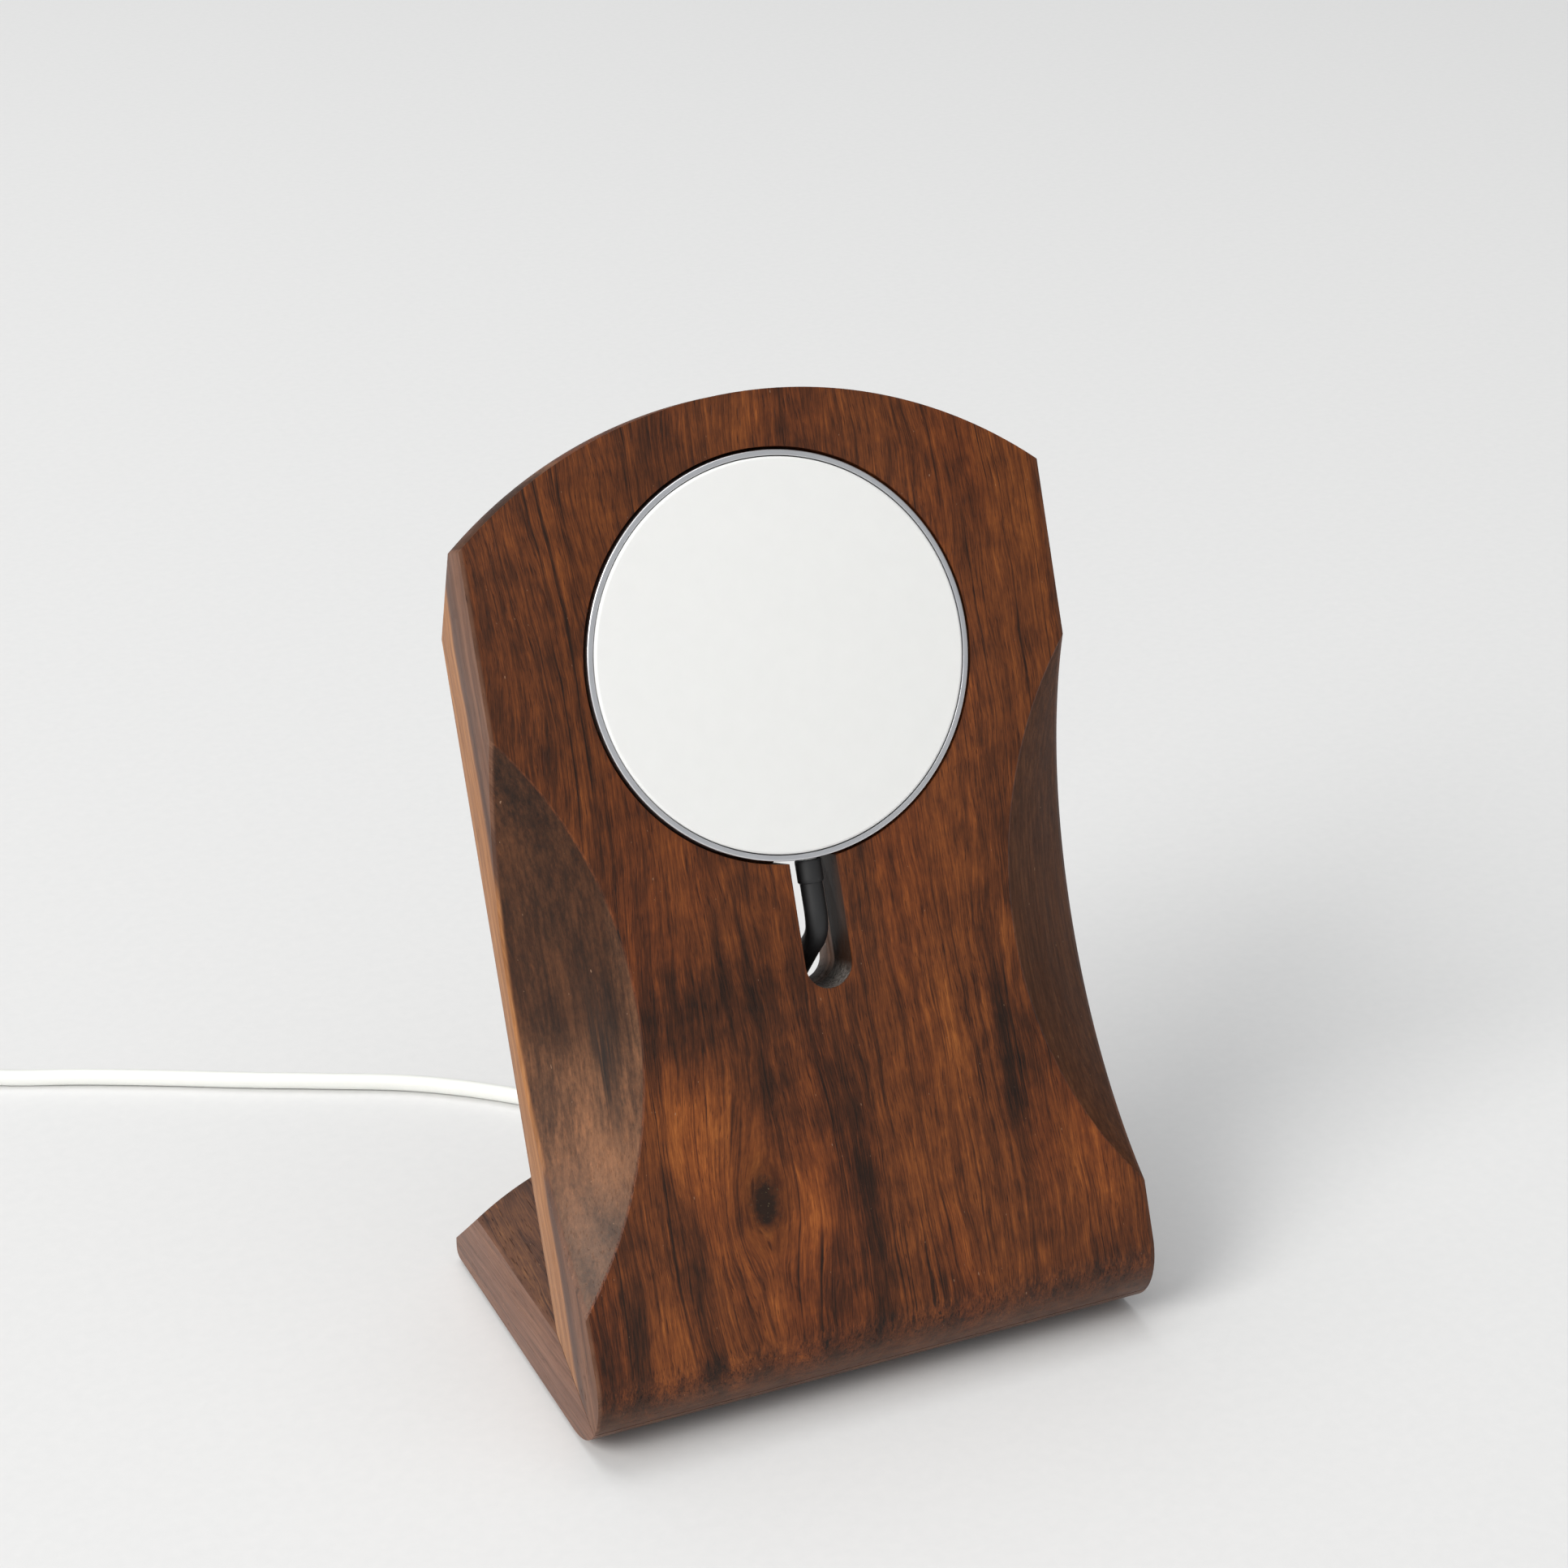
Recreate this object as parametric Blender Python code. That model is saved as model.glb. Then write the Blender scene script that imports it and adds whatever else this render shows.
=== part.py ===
"""Desk stand for a phone: a leaning wooden panel mitred to a wooden base, with a
magnetic charging disc let into the panel and its cable led out through a slot.

World frame: +X to the viewer's right, +Y away from the viewer, +Z up.  The origin
is on the desk surface, at the centre of the non-slip pad's underside, on the
stand's centre plane.
Lengths are millimetres and are turned into metres when a mesh or frame is made.
On the panel, "up" is measured up the front face from the sharp front-bottom
corner, and "out" is measured square to that face, towards the viewer.
"""

import math

import bmesh
import bpy
from mathutils import Matrix, Vector

MM = 0.001

# ---------------------------------------------------------- main dimensions
WIDTH = 85.4            # across the boards
LEAN = 21.75            # panel, degrees back from vertical
PANEL_T = 14.0          # panel thickness
PANEL_LEN = 142.0       # up the front face to the top of its curved head
BASE_T = 12.0           # base thickness
BASE_UNDERSIDE = 1.0    # height of the base's underside above the desk
CORNER_Y = -39.91       # sharp front-bottom corner, before the nose is rounded
NOSE_R = 10.0           # rounding of that corner
MITRE_GAP = 0.2         # glue line between the two boards
FIT_GAP = 0.2           # clearance round fitted pieces
CABLE_R = 1.3

HALF_W = WIDTH / 2
BASE_TOP = BASE_UNDERSIDE + BASE_T
LEAN_RAD = math.radians(LEAN)
SIN_L = math.sin(LEAN_RAD)
COS_L = math.cos(LEAN_RAD)

# curved ends of the boards: the rear of the base and the head of the panel
END_R = 67.2            # radius in plan, at the base's top and the panel's front
END_APEX_Y = 28.0       # rearmost point of the base's top face
END_CHAMFER = 8.1       # how far the chamfer alters that radius
END_CHAMFER_H = 9.2     # how much of the thickness it takes up
END_FOOT_R = 1.2        # rounding where the base's rear edge meets its underside

# hollows in the front side edges of the panel
SCOOP_R = 61.0          # radius of the hollow, on the front face
SCOOP_UP = 62.5         # height of its deepest point
SCOOP_INSET = 14.45     # how far it reaches in from the side face
SCOOP_ANGLE = 36.3      # its slope from the front face, degrees
SCOOP_STEPS = 36

# charging disc and its recess
PUCK_UP = 105.9         # disc centre
PUCK_R = 27.95
PUCK_T = 5.4
PUCK_PROUD = 0.6        # disc face stands this far out of the wood
PUCK_BACK = PUCK_PROUD - PUCK_T
CABLE_OUT = PUCK_BACK + 2.7     # level at which the cable leaves the disc
RECESS_R = 28.4
RECESS_DEPTH = 5.7

# cable slot through the panel
SLOT_W = 7.1
SLOT_LOW_UP = 59.8      # lower end
SLOT_HIGH_UP = 82.0     # upper end
SLOT_STEP = 8.0         # depth at which the slot narrows
SLOT_STEP_W = 0.35      # how much it narrows on each side
SLOT_STEP_H = 0.01      # thickness of the near-square step
SLOT_BACK_CHAMFER = 3.0 # eased rear mouth

# spline glued across the mitre
SPLINE_T = 3.0          # along the mitre
SPLINE_W = 7.0          # across the mitre
SPLINE_LEN = 64.0
SPLINE_FROM_HEEL = 9.5  # its centre, from the inner corner along the mitre

# non-slip pad under the base
PAD_X = 34.0            # half width
PAD_Y = 20.0            # half depth
PAD_CORNER_R = 5.0
PAD_T = BASE_UNDERSIDE - FIT_GAP

# how far blanks and cutting guides run past the finished wood
PANEL_SPARE = 6.0
BASE_SPARE = 8.0
END_OVERCUT = 3.0       # end guides, past the faces they cross
HEAD_FRONT = 8.0        # head guide, in front of the panel
FRONT_OVERCUT = 4.0     # scoops and slot, in front of the panel
BACK_OVERCUT = 2.0      # scoops and slot, behind the panel
RECESS_OVERCUT = 5.0
SCOOP_OVERCUT = 1.0     # at each end of the scoop's arc
SCOOP_SIDE = 40.0       # beyond the side face
END_GUIDE_HALF_W = 46.0
END_GUIDE_START = -120.0


# ----------------------------------------------------------- panel geometry
def panel_side(up, out):
    """(y, z) of a point on the panel, seen from the side."""
    return (CORNER_Y + up * SIN_L - out * COS_L,
            BASE_UNDERSIDE + up * COS_L + out * SIN_L)


def on_panel(up, out):
    """World position of a point on the panel's centre plane."""
    return Vector((0, *panel_side(up, out)))


def panel_matrix(up):
    """Frame on the front face: X across, Y up the face, Z outwards."""
    tilt = Matrix.Rotation(math.pi / 2 - LEAN_RAD, 4, "X")
    return Matrix.Translation(on_panel(up, 0) * MM) @ tilt


# ---------------------------------------------------------------- materials
def material(name, colour, roughness, metallic=0.0):
    mat = bpy.data.materials.new(name)
    mat.use_nodes = True
    shader = mat.node_tree.nodes["Principled BSDF"]
    shader.inputs["Base Color"].default_value = (*colour, 1.0)
    shader.inputs["Roughness"].default_value = roughness
    shader.inputs["Metallic"].default_value = metallic
    mat.diffuse_color = (*colour, 1.0)
    return mat


# name: (colour, roughness, metallic)
MATERIALS = {
    "walnut": ((0.115, 0.042, 0.017), 0.42, 0.0),
    "birch_spline": ((0.55, 0.38, 0.22), 0.7, 0.0),
    "anodised_aluminium": ((0.78, 0.78, 0.79), 0.32, 1.0),
    "soft_white_polymer": ((0.86, 0.86, 0.85), 0.55, 0.0),
    "white_cable_polymer": ((0.82, 0.83, 0.80), 0.5, 0.0),
    "nickel_plated_magnet": ((0.62, 0.60, 0.56), 0.25, 1.0),
    "bright_steel": ((0.62, 0.63, 0.64), 0.25, 1.0),
    "circuit_board_green": ((0.02, 0.12, 0.05), 0.5, 0.0),
    "ferrite_grey": ((0.05, 0.05, 0.055), 0.7, 0.0),
    "enamelled_copper": ((0.72, 0.30, 0.12), 0.3, 1.0),
    "adhesive_foam": ((0.10, 0.10, 0.10), 0.9, 0.0),
    "dark_rubber": ((0.02, 0.021, 0.022), 0.6, 0.0),
    "grip_silicone": ((0.05, 0.05, 0.05), 0.8, 0.0),
}


def build_materials():
    return {name: material(name, colour=colour, roughness=roughness, metallic=metallic)
            for name, (colour, roughness, metallic) in MATERIALS.items()}


# ----------------------------------------------------------------- outlines
def polar(radius, angle):
    return (radius * math.cos(angle), radius * math.sin(angle))


def stadium(half_long, half_wide, steps, centre_y=0.0):
    """Outline with two round ends along Y; half_long is measured to the ends."""
    points = []
    reach = half_long - half_wide
    for end in (1, -1):
        for k in range(steps + 1):
            x, y = polar(half_wide, math.pi * k / steps)
            points.append((x * end, reach * end + y * end + centre_y))
    return points


def rounded_box(half_x, half_y, radius, steps):
    """Outline of a rectangle with rounded corners."""
    points = []
    for n, (side_x, side_y) in enumerate(((1, 1), (-1, 1), (-1, -1), (1, -1))):
        for k in range(steps + 1):
            x, y = polar(radius, math.pi / 2 * (n + k / steps))
            points.append((side_x * (half_x - radius) + x, side_y * (half_y - radius) + y))
    return points


# ------------------------------------------------------------ mesh building
SHARP_ANGLE = 35.0      # edges steeper than this are shaded sharp, degrees


def make(name, bm, mat=None, parent=None):
    """Turn a bmesh into a named object with outward faces."""
    bmesh.ops.recalc_face_normals(bm, faces=bm.faces)
    mesh = bpy.data.meshes.new(name)
    bm.to_mesh(mesh)
    bm.free()
    mesh.shade_smooth()
    mesh.set_sharp_from_angle(angle=math.radians(SHARP_ANGLE))
    obj = bpy.data.objects.new(name, mesh)
    bpy.context.scene.collection.objects.link(obj)
    if mat:
        mesh.materials.append(mat)
    if parent:
        obj.parent = parent
    return obj


def loft(name, loops, mat=None, parent=None, joined=False):
    """Skin of quads through equal loops, capped or with the last joined to the first."""
    bm = bmesh.new()
    rings = [[bm.verts.new(Vector(point) * MM) for point in loop] for loop in loops]
    count = len(rings[0])
    for low, high in zip(rings, rings[1:]):
        for i in range(count):
            j = (i + 1) % count
            bm.faces.new((low[i], low[j], high[j], high[i]))
    first, last = rings[0], rings[-1]
    if joined:
        for i in range(count):
            j = (i + 1) % count
            bm.faces.new((last[i], last[j], first[j], first[i]))
    else:
        bm.faces.new(list(reversed(first)))
        bm.faces.new(last)
    return make(name, bm, mat, parent)


def stacked(name, levels, mat=None, parent=None):
    """Solid through X-Y outlines, given as (z, outline) levels."""
    return loft(name, [[(x, y, z) for x, y in outline] for z, outline in levels], mat, parent)


def prism_x(name, outline, half_width, mat=None):
    """Solid with a constant Y-Z outline, centred on X = 0."""
    return loft(name, [[(x, y, z) for y, z in outline] for x in (-half_width, half_width)], mat)


def turned(name, profile, steps, mat=None, parent=None):
    """Solid of revolution about Z from a closed profile of (radius, height)."""
    bm = bmesh.new()
    rings = []
    for radius, height in profile:
        if radius < 1e-6:
            points = [(0, 0)]
        else:
            points = [polar(radius, 2 * math.pi * k / steps) for k in range(steps)]
        rings.append([bm.verts.new(Vector((x, y, height)) * MM) for x, y in points])
    for one, two in zip(rings, rings[1:] + rings[:1]):
        if len(one) == 1 and len(two) == 1:
            continue
        for k in range(steps):
            m = (k + 1) % steps
            if len(one) == 1:
                bm.faces.new((one[0], two[m], two[k]))
            elif len(two) == 1:
                bm.faces.new((one[k], one[m], two[0]))
            else:
                bm.faces.new((one[k], one[m], two[m], two[k]))
    return make(name, bm, mat, parent)


def disc(name, radius, low, high, steps, mat=None, parent=None):
    profile = [(0, low), (radius, low), (radius, high), (0, high)]
    return turned(name, profile, steps, mat, parent)


def bar_section(angle, inner, outer, low, high):
    """Radial rectangle at one angle, for bars bent round the Z axis."""
    return [(*polar(radius, angle), z)
            for radius, z in ((inner, low), (outer, low), (outer, high), (inner, high))]


def sector(name, size, start, end, steps, mat, parent):
    """Part of a flat ring between two angles in degrees; size is
    (inner radius, outer radius, low, high)."""
    angles = [math.radians(start + (end - start) * k / steps) for k in range(steps + 1)]
    loft(name, [bar_section(angle, *size) for angle in angles], mat, parent)


def empty(name, matrix):
    obj = bpy.data.objects.new(name, None)
    obj.empty_display_size = 0.01
    bpy.context.scene.collection.objects.link(obj)
    obj.matrix_world = matrix
    return obj


def cut(target, cutter, operation="DIFFERENCE"):
    """Boolean with the exact solver; the cutter is a guide and isn't rendered."""
    cutter.hide_render = True
    cutter.display_type = "WIRE"
    mod = target.modifiers.new(cutter.name, "BOOLEAN")
    mod.operation = operation
    mod.solver = "EXACT"
    mod.object = cutter


# -------------------------------------------------------------------- paths
def path_rings(path, radii, sides):
    """Circle round each point of a path, carried along without twist."""
    rings = []
    side = Vector((1, 0, 0))
    for i, (point, radius) in enumerate(zip(path, radii)):
        ahead = path[min(i + 1, len(path) - 1)]
        behind = path[max(i - 1, 0)]
        along = (ahead - behind).normalized()
        side = (side - along * side.dot(along)).normalized()
        other = along.cross(side)
        ring = []
        for k in range(sides):
            angle = 2 * math.pi * k / sides
            ring.append(point + (side * math.cos(angle) + other * math.sin(angle)) * radius)
        rings.append(ring)
    return rings


def blend(start, end, from_knot, to_knot, knot):
    """Point on the line that is at start at from_knot and at end at to_knot."""
    span = to_knot - from_knot
    return start * ((to_knot - knot) / span) + end * ((knot - from_knot) / span)


def curve_through(anchors, spacing, fine_spans=0):
    """Centripetal Catmull-Rom path through the anchors, each span evenly stepped,
    with half the spacing on the first fine_spans spans."""
    before = anchors[0] * 2 - anchors[1]
    after = anchors[-1] * 2 - anchors[-2]
    points = [before, *anchors, after]
    path = [anchors[0]]
    for i in range(1, len(points) - 2):
        p0, p1, p2, p3 = points[i - 1:i + 3]
        t0 = 0.0
        t1 = (p1 - p0).length ** 0.5
        t2 = t1 + (p2 - p1).length ** 0.5
        t3 = t2 + (p3 - p2).length ** 0.5
        step = spacing / 2 if i <= fine_spans else spacing
        steps = max(2, round((p2 - p1).length / step))
        for k in range(1, steps + 1):
            t = t1 + (t2 - t1) * k / steps
            first = blend(p0, p1, t0, t1, t)
            middle = blend(p1, p2, t1, t2, t)
            last = blend(p2, p3, t2, t3, t)
            path.append(blend(blend(first, middle, t0, t2, t),
                              blend(middle, last, t1, t3, t), t1, t2, t))
    return path


# ----------------------------------------------- mitre and nose, as (y, z)
def cross(one, two):
    return one[0] * two[1] - one[1] * two[0]


def meet(point, direction, other_point, other_direction):
    """Where two lines cross."""
    gap = (other_point[0] - point[0], other_point[1] - point[1])
    distance = cross(gap, other_direction) / cross(direction, other_direction)
    return (point[0] + distance * direction[0], point[1] + distance * direction[1])


# the mitre runs from the heel, inside, to the sharp front-bottom corner
PANEL_BACK_LINE = (panel_side(0, -PANEL_T), (SIN_L, COS_L))     # point, direction
BASE_TOP_LINE = ((0.0, BASE_TOP), (1.0, 0.0))
HEEL = meet(*PANEL_BACK_LINE, *BASE_TOP_LINE)
MITRE_LEN = math.hypot(CORNER_Y - HEEL[0], BASE_UNDERSIDE - HEEL[1])
MITRE_DIR = ((CORNER_Y - HEEL[0]) / MITRE_LEN, (BASE_UNDERSIDE - HEEL[1]) / MITRE_LEN)
MITRE_NORMAL = (MITRE_DIR[1], -MITRE_DIR[0])       # towards the panel side

NOSE_TANGENT = NOSE_R / math.tan((math.pi / 2 - LEAN_RAD) / 2)   # corner to tangent point
NOSE_CENTRE = (CORNER_Y + NOSE_TANGENT, BASE_UNDERSIDE + NOSE_R)


def mitre_point(along, across):
    """Point given from the heel, along the mitre and across it to the panel side."""
    return (HEEL[0] + MITRE_DIR[0] * along + MITRE_NORMAL[0] * across,
            HEEL[1] + MITRE_DIR[1] * along + MITRE_NORMAL[1] * across)


def mitre_nose_angle(start):
    """Angle on the nose circle where a line along the mitre leaves it."""
    y, z = start[0] - NOSE_CENTRE[0], start[1] - NOSE_CENTRE[1]
    toward = y * MITRE_DIR[0] + z * MITRE_DIR[1]
    distance = -toward + math.sqrt(toward * toward - (y * y + z * z - NOSE_R * NOSE_R))
    angle = math.atan2(z + distance * MITRE_DIR[1], y + distance * MITRE_DIR[0])
    return angle % (2 * math.pi)


def nose_arc(start, end, steps):
    points = [polar(NOSE_R, start + (end - start) * k / steps) for k in range(steps + 1)]
    return [(NOSE_CENTRE[0] + y, NOSE_CENTRE[1] + z) for y, z in points]


# ------------------------------------------------------------------- boards
END_STEPS = 36
FOOT_STEPS = 3
END_FLARE = END_CHAMFER / END_CHAMFER_H     # change of radius per unit of thickness


def panel_profile():
    """Side outline of the panel, from the heel round the nose to the top."""
    start = mitre_point(0, MITRE_GAP / 2)
    heel = meet(start, MITRE_DIR, *PANEL_BACK_LINE)
    arc = nose_arc(mitre_nose_angle(start), math.pi - LEAN_RAD, 10)
    top = PANEL_LEN + PANEL_SPARE
    return [heel] + arc + [panel_side(top, 0), panel_side(top, -PANEL_T)]


def base_profile():
    """Side outline of the base, from the heel back and round to the nose."""
    start = mitre_point(0, -MITRE_GAP / 2)
    heel = meet(start, MITRE_DIR, *BASE_TOP_LINE)
    arc = nose_arc(1.5 * math.pi, mitre_nose_angle(start), 8)
    rear = END_APEX_Y + END_CHAMFER + BASE_SPARE
    return [heel, (rear, BASE_TOP), (rear, BASE_UNDERSIDE)] + arc


def curved_end_guide(name, apex, levels):
    """Solid whose far end bulges along +Y, from (z, radius) levels.  The arcs share
    a centre, and the one of radius END_R reaches the apex."""
    def outline(radius):
        points = [(-END_GUIDE_HALF_W, END_GUIDE_START), (END_GUIDE_HALF_W, END_GUIDE_START)]
        for k in range(END_STEPS + 1):
            x = END_GUIDE_HALF_W - 2 * END_GUIDE_HALF_W * k / END_STEPS
            points.append((x, apex - END_R + math.sqrt(radius * radius - x * x)))
        return points

    return stacked(name, [(z, outline(radius)) for z, radius in levels])


def cut_base_end(base):
    """Curved rear edge of the base, chamfered so that it is wider below."""
    widest = END_R + END_CHAMFER
    levels = [(BASE_UNDERSIDE - END_OVERCUT, widest - END_FOOT_R)]
    for k in range(FOOT_STEPS + 1):
        angle = math.pi / 2 * k / FOOT_STEPS
        levels.append((BASE_UNDERSIDE + END_FOOT_R * (1 - math.cos(angle)),
                       widest - END_FOOT_R * (1 - math.sin(angle))))
    levels += [(BASE_TOP - END_CHAMFER_H, widest),
               (BASE_TOP + END_OVERCUT, END_R - END_OVERCUT * END_FLARE)]
    cut(base, curved_end_guide("guide_base_plan", END_APEX_Y, levels), "INTERSECT")


def cut_panel_head(panel):
    """Head of the panel: the same arc, with the chamfer on the back."""
    levels = [(HEAD_FRONT, END_R), (END_CHAMFER_H - PANEL_T, END_R),
              (-PANEL_T - END_OVERCUT, END_R - END_CHAMFER - END_OVERCUT * END_FLARE)]
    guide = curved_end_guide("guide_panel_head", PANEL_LEN, levels)
    guide.matrix_world = panel_matrix(0)
    cut(panel, guide, "INTERSECT")


def cut_scoop(panel, label, side):
    """Hollow in one front side edge: an arc on the face, sloping out to the side."""
    reach = math.sqrt(SCOOP_R ** 2 - (SCOOP_R - SCOOP_INSET) ** 2) + SCOOP_OVERCUT
    slope = 1.0 / math.tan(math.radians(SCOOP_ANGLE))
    arc = []
    for k in range(SCOOP_STEPS + 1):
        up = SCOOP_UP - reach + 2 * reach * k / SCOOP_STEPS
        inset = SCOOP_INSET - SCOOP_R + math.sqrt(SCOOP_R ** 2 - (up - SCOOP_UP) ** 2)
        arc.append((side * (HALF_W - inset), up))
    beyond = side * (HALF_W + SCOOP_SIDE)
    outline = arc + [(beyond, arc[-1][1]), (beyond, arc[0][1])]
    guide = stacked("guide_scoop_" + label, [
        (z, [(x - side * z * slope, y) for x, y in outline])
        for z in (FRONT_OVERCUT, -PANEL_T - BACK_OVERCUT)])
    guide.matrix_world = panel_matrix(0)
    cut(panel, guide)


def cut_recess(panel):
    """Round recess for the charging disc."""
    guide = disc("guide_recess", RECESS_R, -RECESS_DEPTH, RECESS_OVERCUT, 72)
    guide.matrix_world = panel_matrix(PUCK_UP)
    cut(panel, guide)


def cut_cable_slot(panel):
    """Slot through the panel, narrower behind a step and eased at the back."""
    half_long = (SLOT_HIGH_UP - SLOT_LOW_UP) / 2
    centre = (SLOT_HIGH_UP + SLOT_LOW_UP) / 2
    widening = SLOT_BACK_CHAMFER + BACK_OVERCUT
    levels = [      # z, growth of the outline on every side
        (FRONT_OVERCUT, 0.0),
        (-SLOT_STEP, 0.0),
        (-SLOT_STEP - SLOT_STEP_H, -SLOT_STEP_W),
        (-PANEL_T + SLOT_BACK_CHAMFER, -SLOT_STEP_W),
        (-PANEL_T - BACK_OVERCUT, -SLOT_STEP_W + widening),
    ]
    guide = stacked("guide_slot", [
        (z, stadium(half_long + growth, SLOT_W / 2 + growth, 14, centre))
        for z, growth in levels])
    guide.matrix_world = panel_matrix(0)
    cut(panel, guide)


def spline_prism(name, gap, mat=None):
    """The spline's block, grown by a gap on every side."""
    half_t, half_w = SPLINE_T / 2 + gap, SPLINE_W / 2 + gap
    outline = [mitre_point(SPLINE_FROM_HEEL + along, across) for along, across in
               ((-half_t, -half_w), (half_t, -half_w), (half_t, half_w), (-half_t, half_w))]
    return prism_x(name, outline, SPLINE_LEN / 2 + gap, mat)


def build_boards(mats):
    base = prism_x("base_plate", base_profile(), HALF_W, mats["walnut"])
    panel = prism_x("front_panel", panel_profile(), HALF_W, mats["walnut"])
    cut_base_end(base)
    cut_panel_head(panel)
    cut_scoop(panel, "left", -1)
    cut_scoop(panel, "right", 1)
    cut_recess(panel)
    cut_cable_slot(panel)
    room = spline_prism("guide_spline", FIT_GAP)
    cut(panel, room)
    cut(base, room)
    spline_prism("mitre_spline", 0.0, mats["birch_spline"])


def build_grip_pad(mats):
    outline = rounded_box(PAD_X, PAD_Y, PAD_CORNER_R, 6)
    stacked("grip_pad", [(0.0, outline), (PAD_T, outline)], mats["grip_silicone"])


# ------------------------------------------------------------ charging disc
# Heights are out from the wood's front face.
SHELL_WALL = 0.8        # thickness of the cup's wall and floor
SHELL_RIM = 0.35        # top of the cup
SHELL_BACK_EDGE = [(0.9, 0), (0.3, 0.25), (0, 0.9)]     # inset from PUCK_R, up from the back
SHELL_RIM_EDGE = [(0, 0.2), (0.25, 0)]                  # inset from PUCK_R, below the rim
BORE_HALF_LEN = 4.0

FACE_GAP = 0.15         # between the face and the cup's wall
FACE_UNDERSIDE = -0.5
FACE_EDGE = [(0, 0.35), (0.12, 0.12), (0.45, 0)]        # inset from its rim, below the face

MAGNETS = 16
MAGNET_OPENING = 14.0   # opening in the ring where the cable enters, degrees
MAGNET_SPACE = 1.0      # between neighbouring magnets, degrees
MAGNET_SIZE = (23.4, 26.8, -2.9, -0.9)      # inner radius, outer radius, low, high
SHIELD_SIZE = (23.3, 26.9, -3.7, -3.15)     # likewise

# name, radius, low, high, steps, material
INNER_DISCS = [
    ("circuit_board", 15.0, -3.85, -3.25, 40, "circuit_board_green"),
    ("ferrite_disc", 21.4, -3.05, -2.25, 48, "ferrite_grey"),
    ("adhesive_pad", 25.0, -RECESS_DEPTH + FIT_GAP, PUCK_BACK - FIT_GAP, 48, "adhesive_foam"),
]

COIL_TURNS = 9
COIL_STEPS = 30         # per turn
COIL_START_R = 10.8
COIL_PITCH = 1.06
COIL_HALF_WIRE = 0.42
COIL_LOW, COIL_HIGH = -2.05, -1.2


def build_shell(mats, axis):
    """Thin-walled cup with a rolled back edge, bored at the bottom for the cable."""
    inside = PUCK_R - SHELL_WALL
    floor = PUCK_BACK + SHELL_WALL
    profile = [(0, PUCK_BACK)]
    profile += [(PUCK_R - inset, PUCK_BACK + rise) for inset, rise in SHELL_BACK_EDGE]
    profile += [(PUCK_R - inset, SHELL_RIM - drop) for inset, drop in SHELL_RIM_EDGE]
    profile += [(inside, SHELL_RIM), (inside, floor), (0, floor)]
    shell = turned("charger_shell", profile, 72, mats["anodised_aluminium"], axis)
    bore = disc("guide_cable_bore", CABLE_R + FIT_GAP, -BORE_HALF_LEN, BORE_HALF_LEN, 20,
                parent=axis)
    bore.rotation_euler = (math.pi / 2, 0, 0)
    bore.location = (0, -PUCK_R * MM, CABLE_OUT * MM)
    cut(shell, bore)


def build_face(mats, axis):
    rim = PUCK_R - SHELL_WALL - FACE_GAP
    profile = [(0, FACE_UNDERSIDE), (rim, FACE_UNDERSIDE)]
    profile += [(rim - inset, PUCK_PROUD - drop) for inset, drop in FACE_EDGE]
    profile += [(0, PUCK_PROUD)]
    turned("charger_face", profile, 72, mats["soft_white_polymer"], axis)


def build_magnets(mats, axis):
    """Magnets round the rim, open at the bottom, with a shield strip behind them."""
    first = -90.0 + MAGNET_OPENING / 2
    pitch = (360.0 - MAGNET_OPENING) / MAGNETS
    for k in range(MAGNETS):
        start = first + k * pitch + MAGNET_SPACE / 2
        sector("magnet_%02d" % (k + 1), MAGNET_SIZE, start, start + pitch - MAGNET_SPACE, 4,
               mats["nickel_plated_magnet"], axis)
    sector("magnet_shield", SHIELD_SIZE, first, 270 - MAGNET_OPENING / 2, 48,
           mats["bright_steel"], axis)


def build_coil(mats, axis):
    """Flat spiral winding of rectangular wire."""
    loops = []
    for k in range(COIL_TURNS * COIL_STEPS + 1):
        radius = COIL_START_R + COIL_PITCH * k / COIL_STEPS
        loops.append(bar_section(2 * math.pi * k / COIL_STEPS, radius - COIL_HALF_WIRE,
                                 radius + COIL_HALF_WIRE, COIL_LOW, COIL_HIGH))
    loft("charge_coil", loops, mats["enamelled_copper"], axis)


def build_puck(mats):
    """The disc, what is sealed in it and the pad behind; +Z is towards the phone."""
    axis = empty("charger_axis", panel_matrix(PUCK_UP))
    build_shell(mats, axis)
    build_face(mats, axis)
    build_magnets(mats, axis)
    for name, radius, low, high, steps, mat in INNER_DISCS:
        disc(name, radius, low, high, steps, mats[mat], axis)
    build_coil(mats, axis)


# -------------------------------------------------------------------- cable
DESK_GAP = 0.05         # between the desk and what lies on it

PLUG_AT = (-108.2, 109.0)       # rear of the plug body on the desk
PLUG_HEADING = 156.2            # degrees about Z, the way the plug points
PLUG_LEN, PLUG_W, PLUG_H = 19.0, 12.35, 6.5
PLUG_REAR = (*PLUG_AT, PLUG_H / 2 + DESK_GAP)

# inside the disc and back through the slot: distance down the panel from the disc
# centre, depth behind CABLE_OUT
CABLE_LEAD = [
    (22.9, 0.0), (28.2, 0.0), (32.5, 0.0), (36.2, 0.05), (38.0, 0.55),
    (39.35, 1.9), (40.65, 4.1), (44.1, 9.7), (47.5, 15.1),
]
# behind the panel, over the base and down to the desk: x, y, z
CABLE_FREE = [
    (-0.2, 1.6, 43.0), (-0.4, 5.8, 35.0), (-0.7, 11.0, 27.2),
    (-1.0, 17.6, 20.8), (-1.4, 25.0, 17.0), (-2.3, 32.6, 12.9),
    (-4.2, 40.0, 7.5), (-7.6, 47.6, 3.4), (-12.6, 55.2, 1.6),
]
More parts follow.
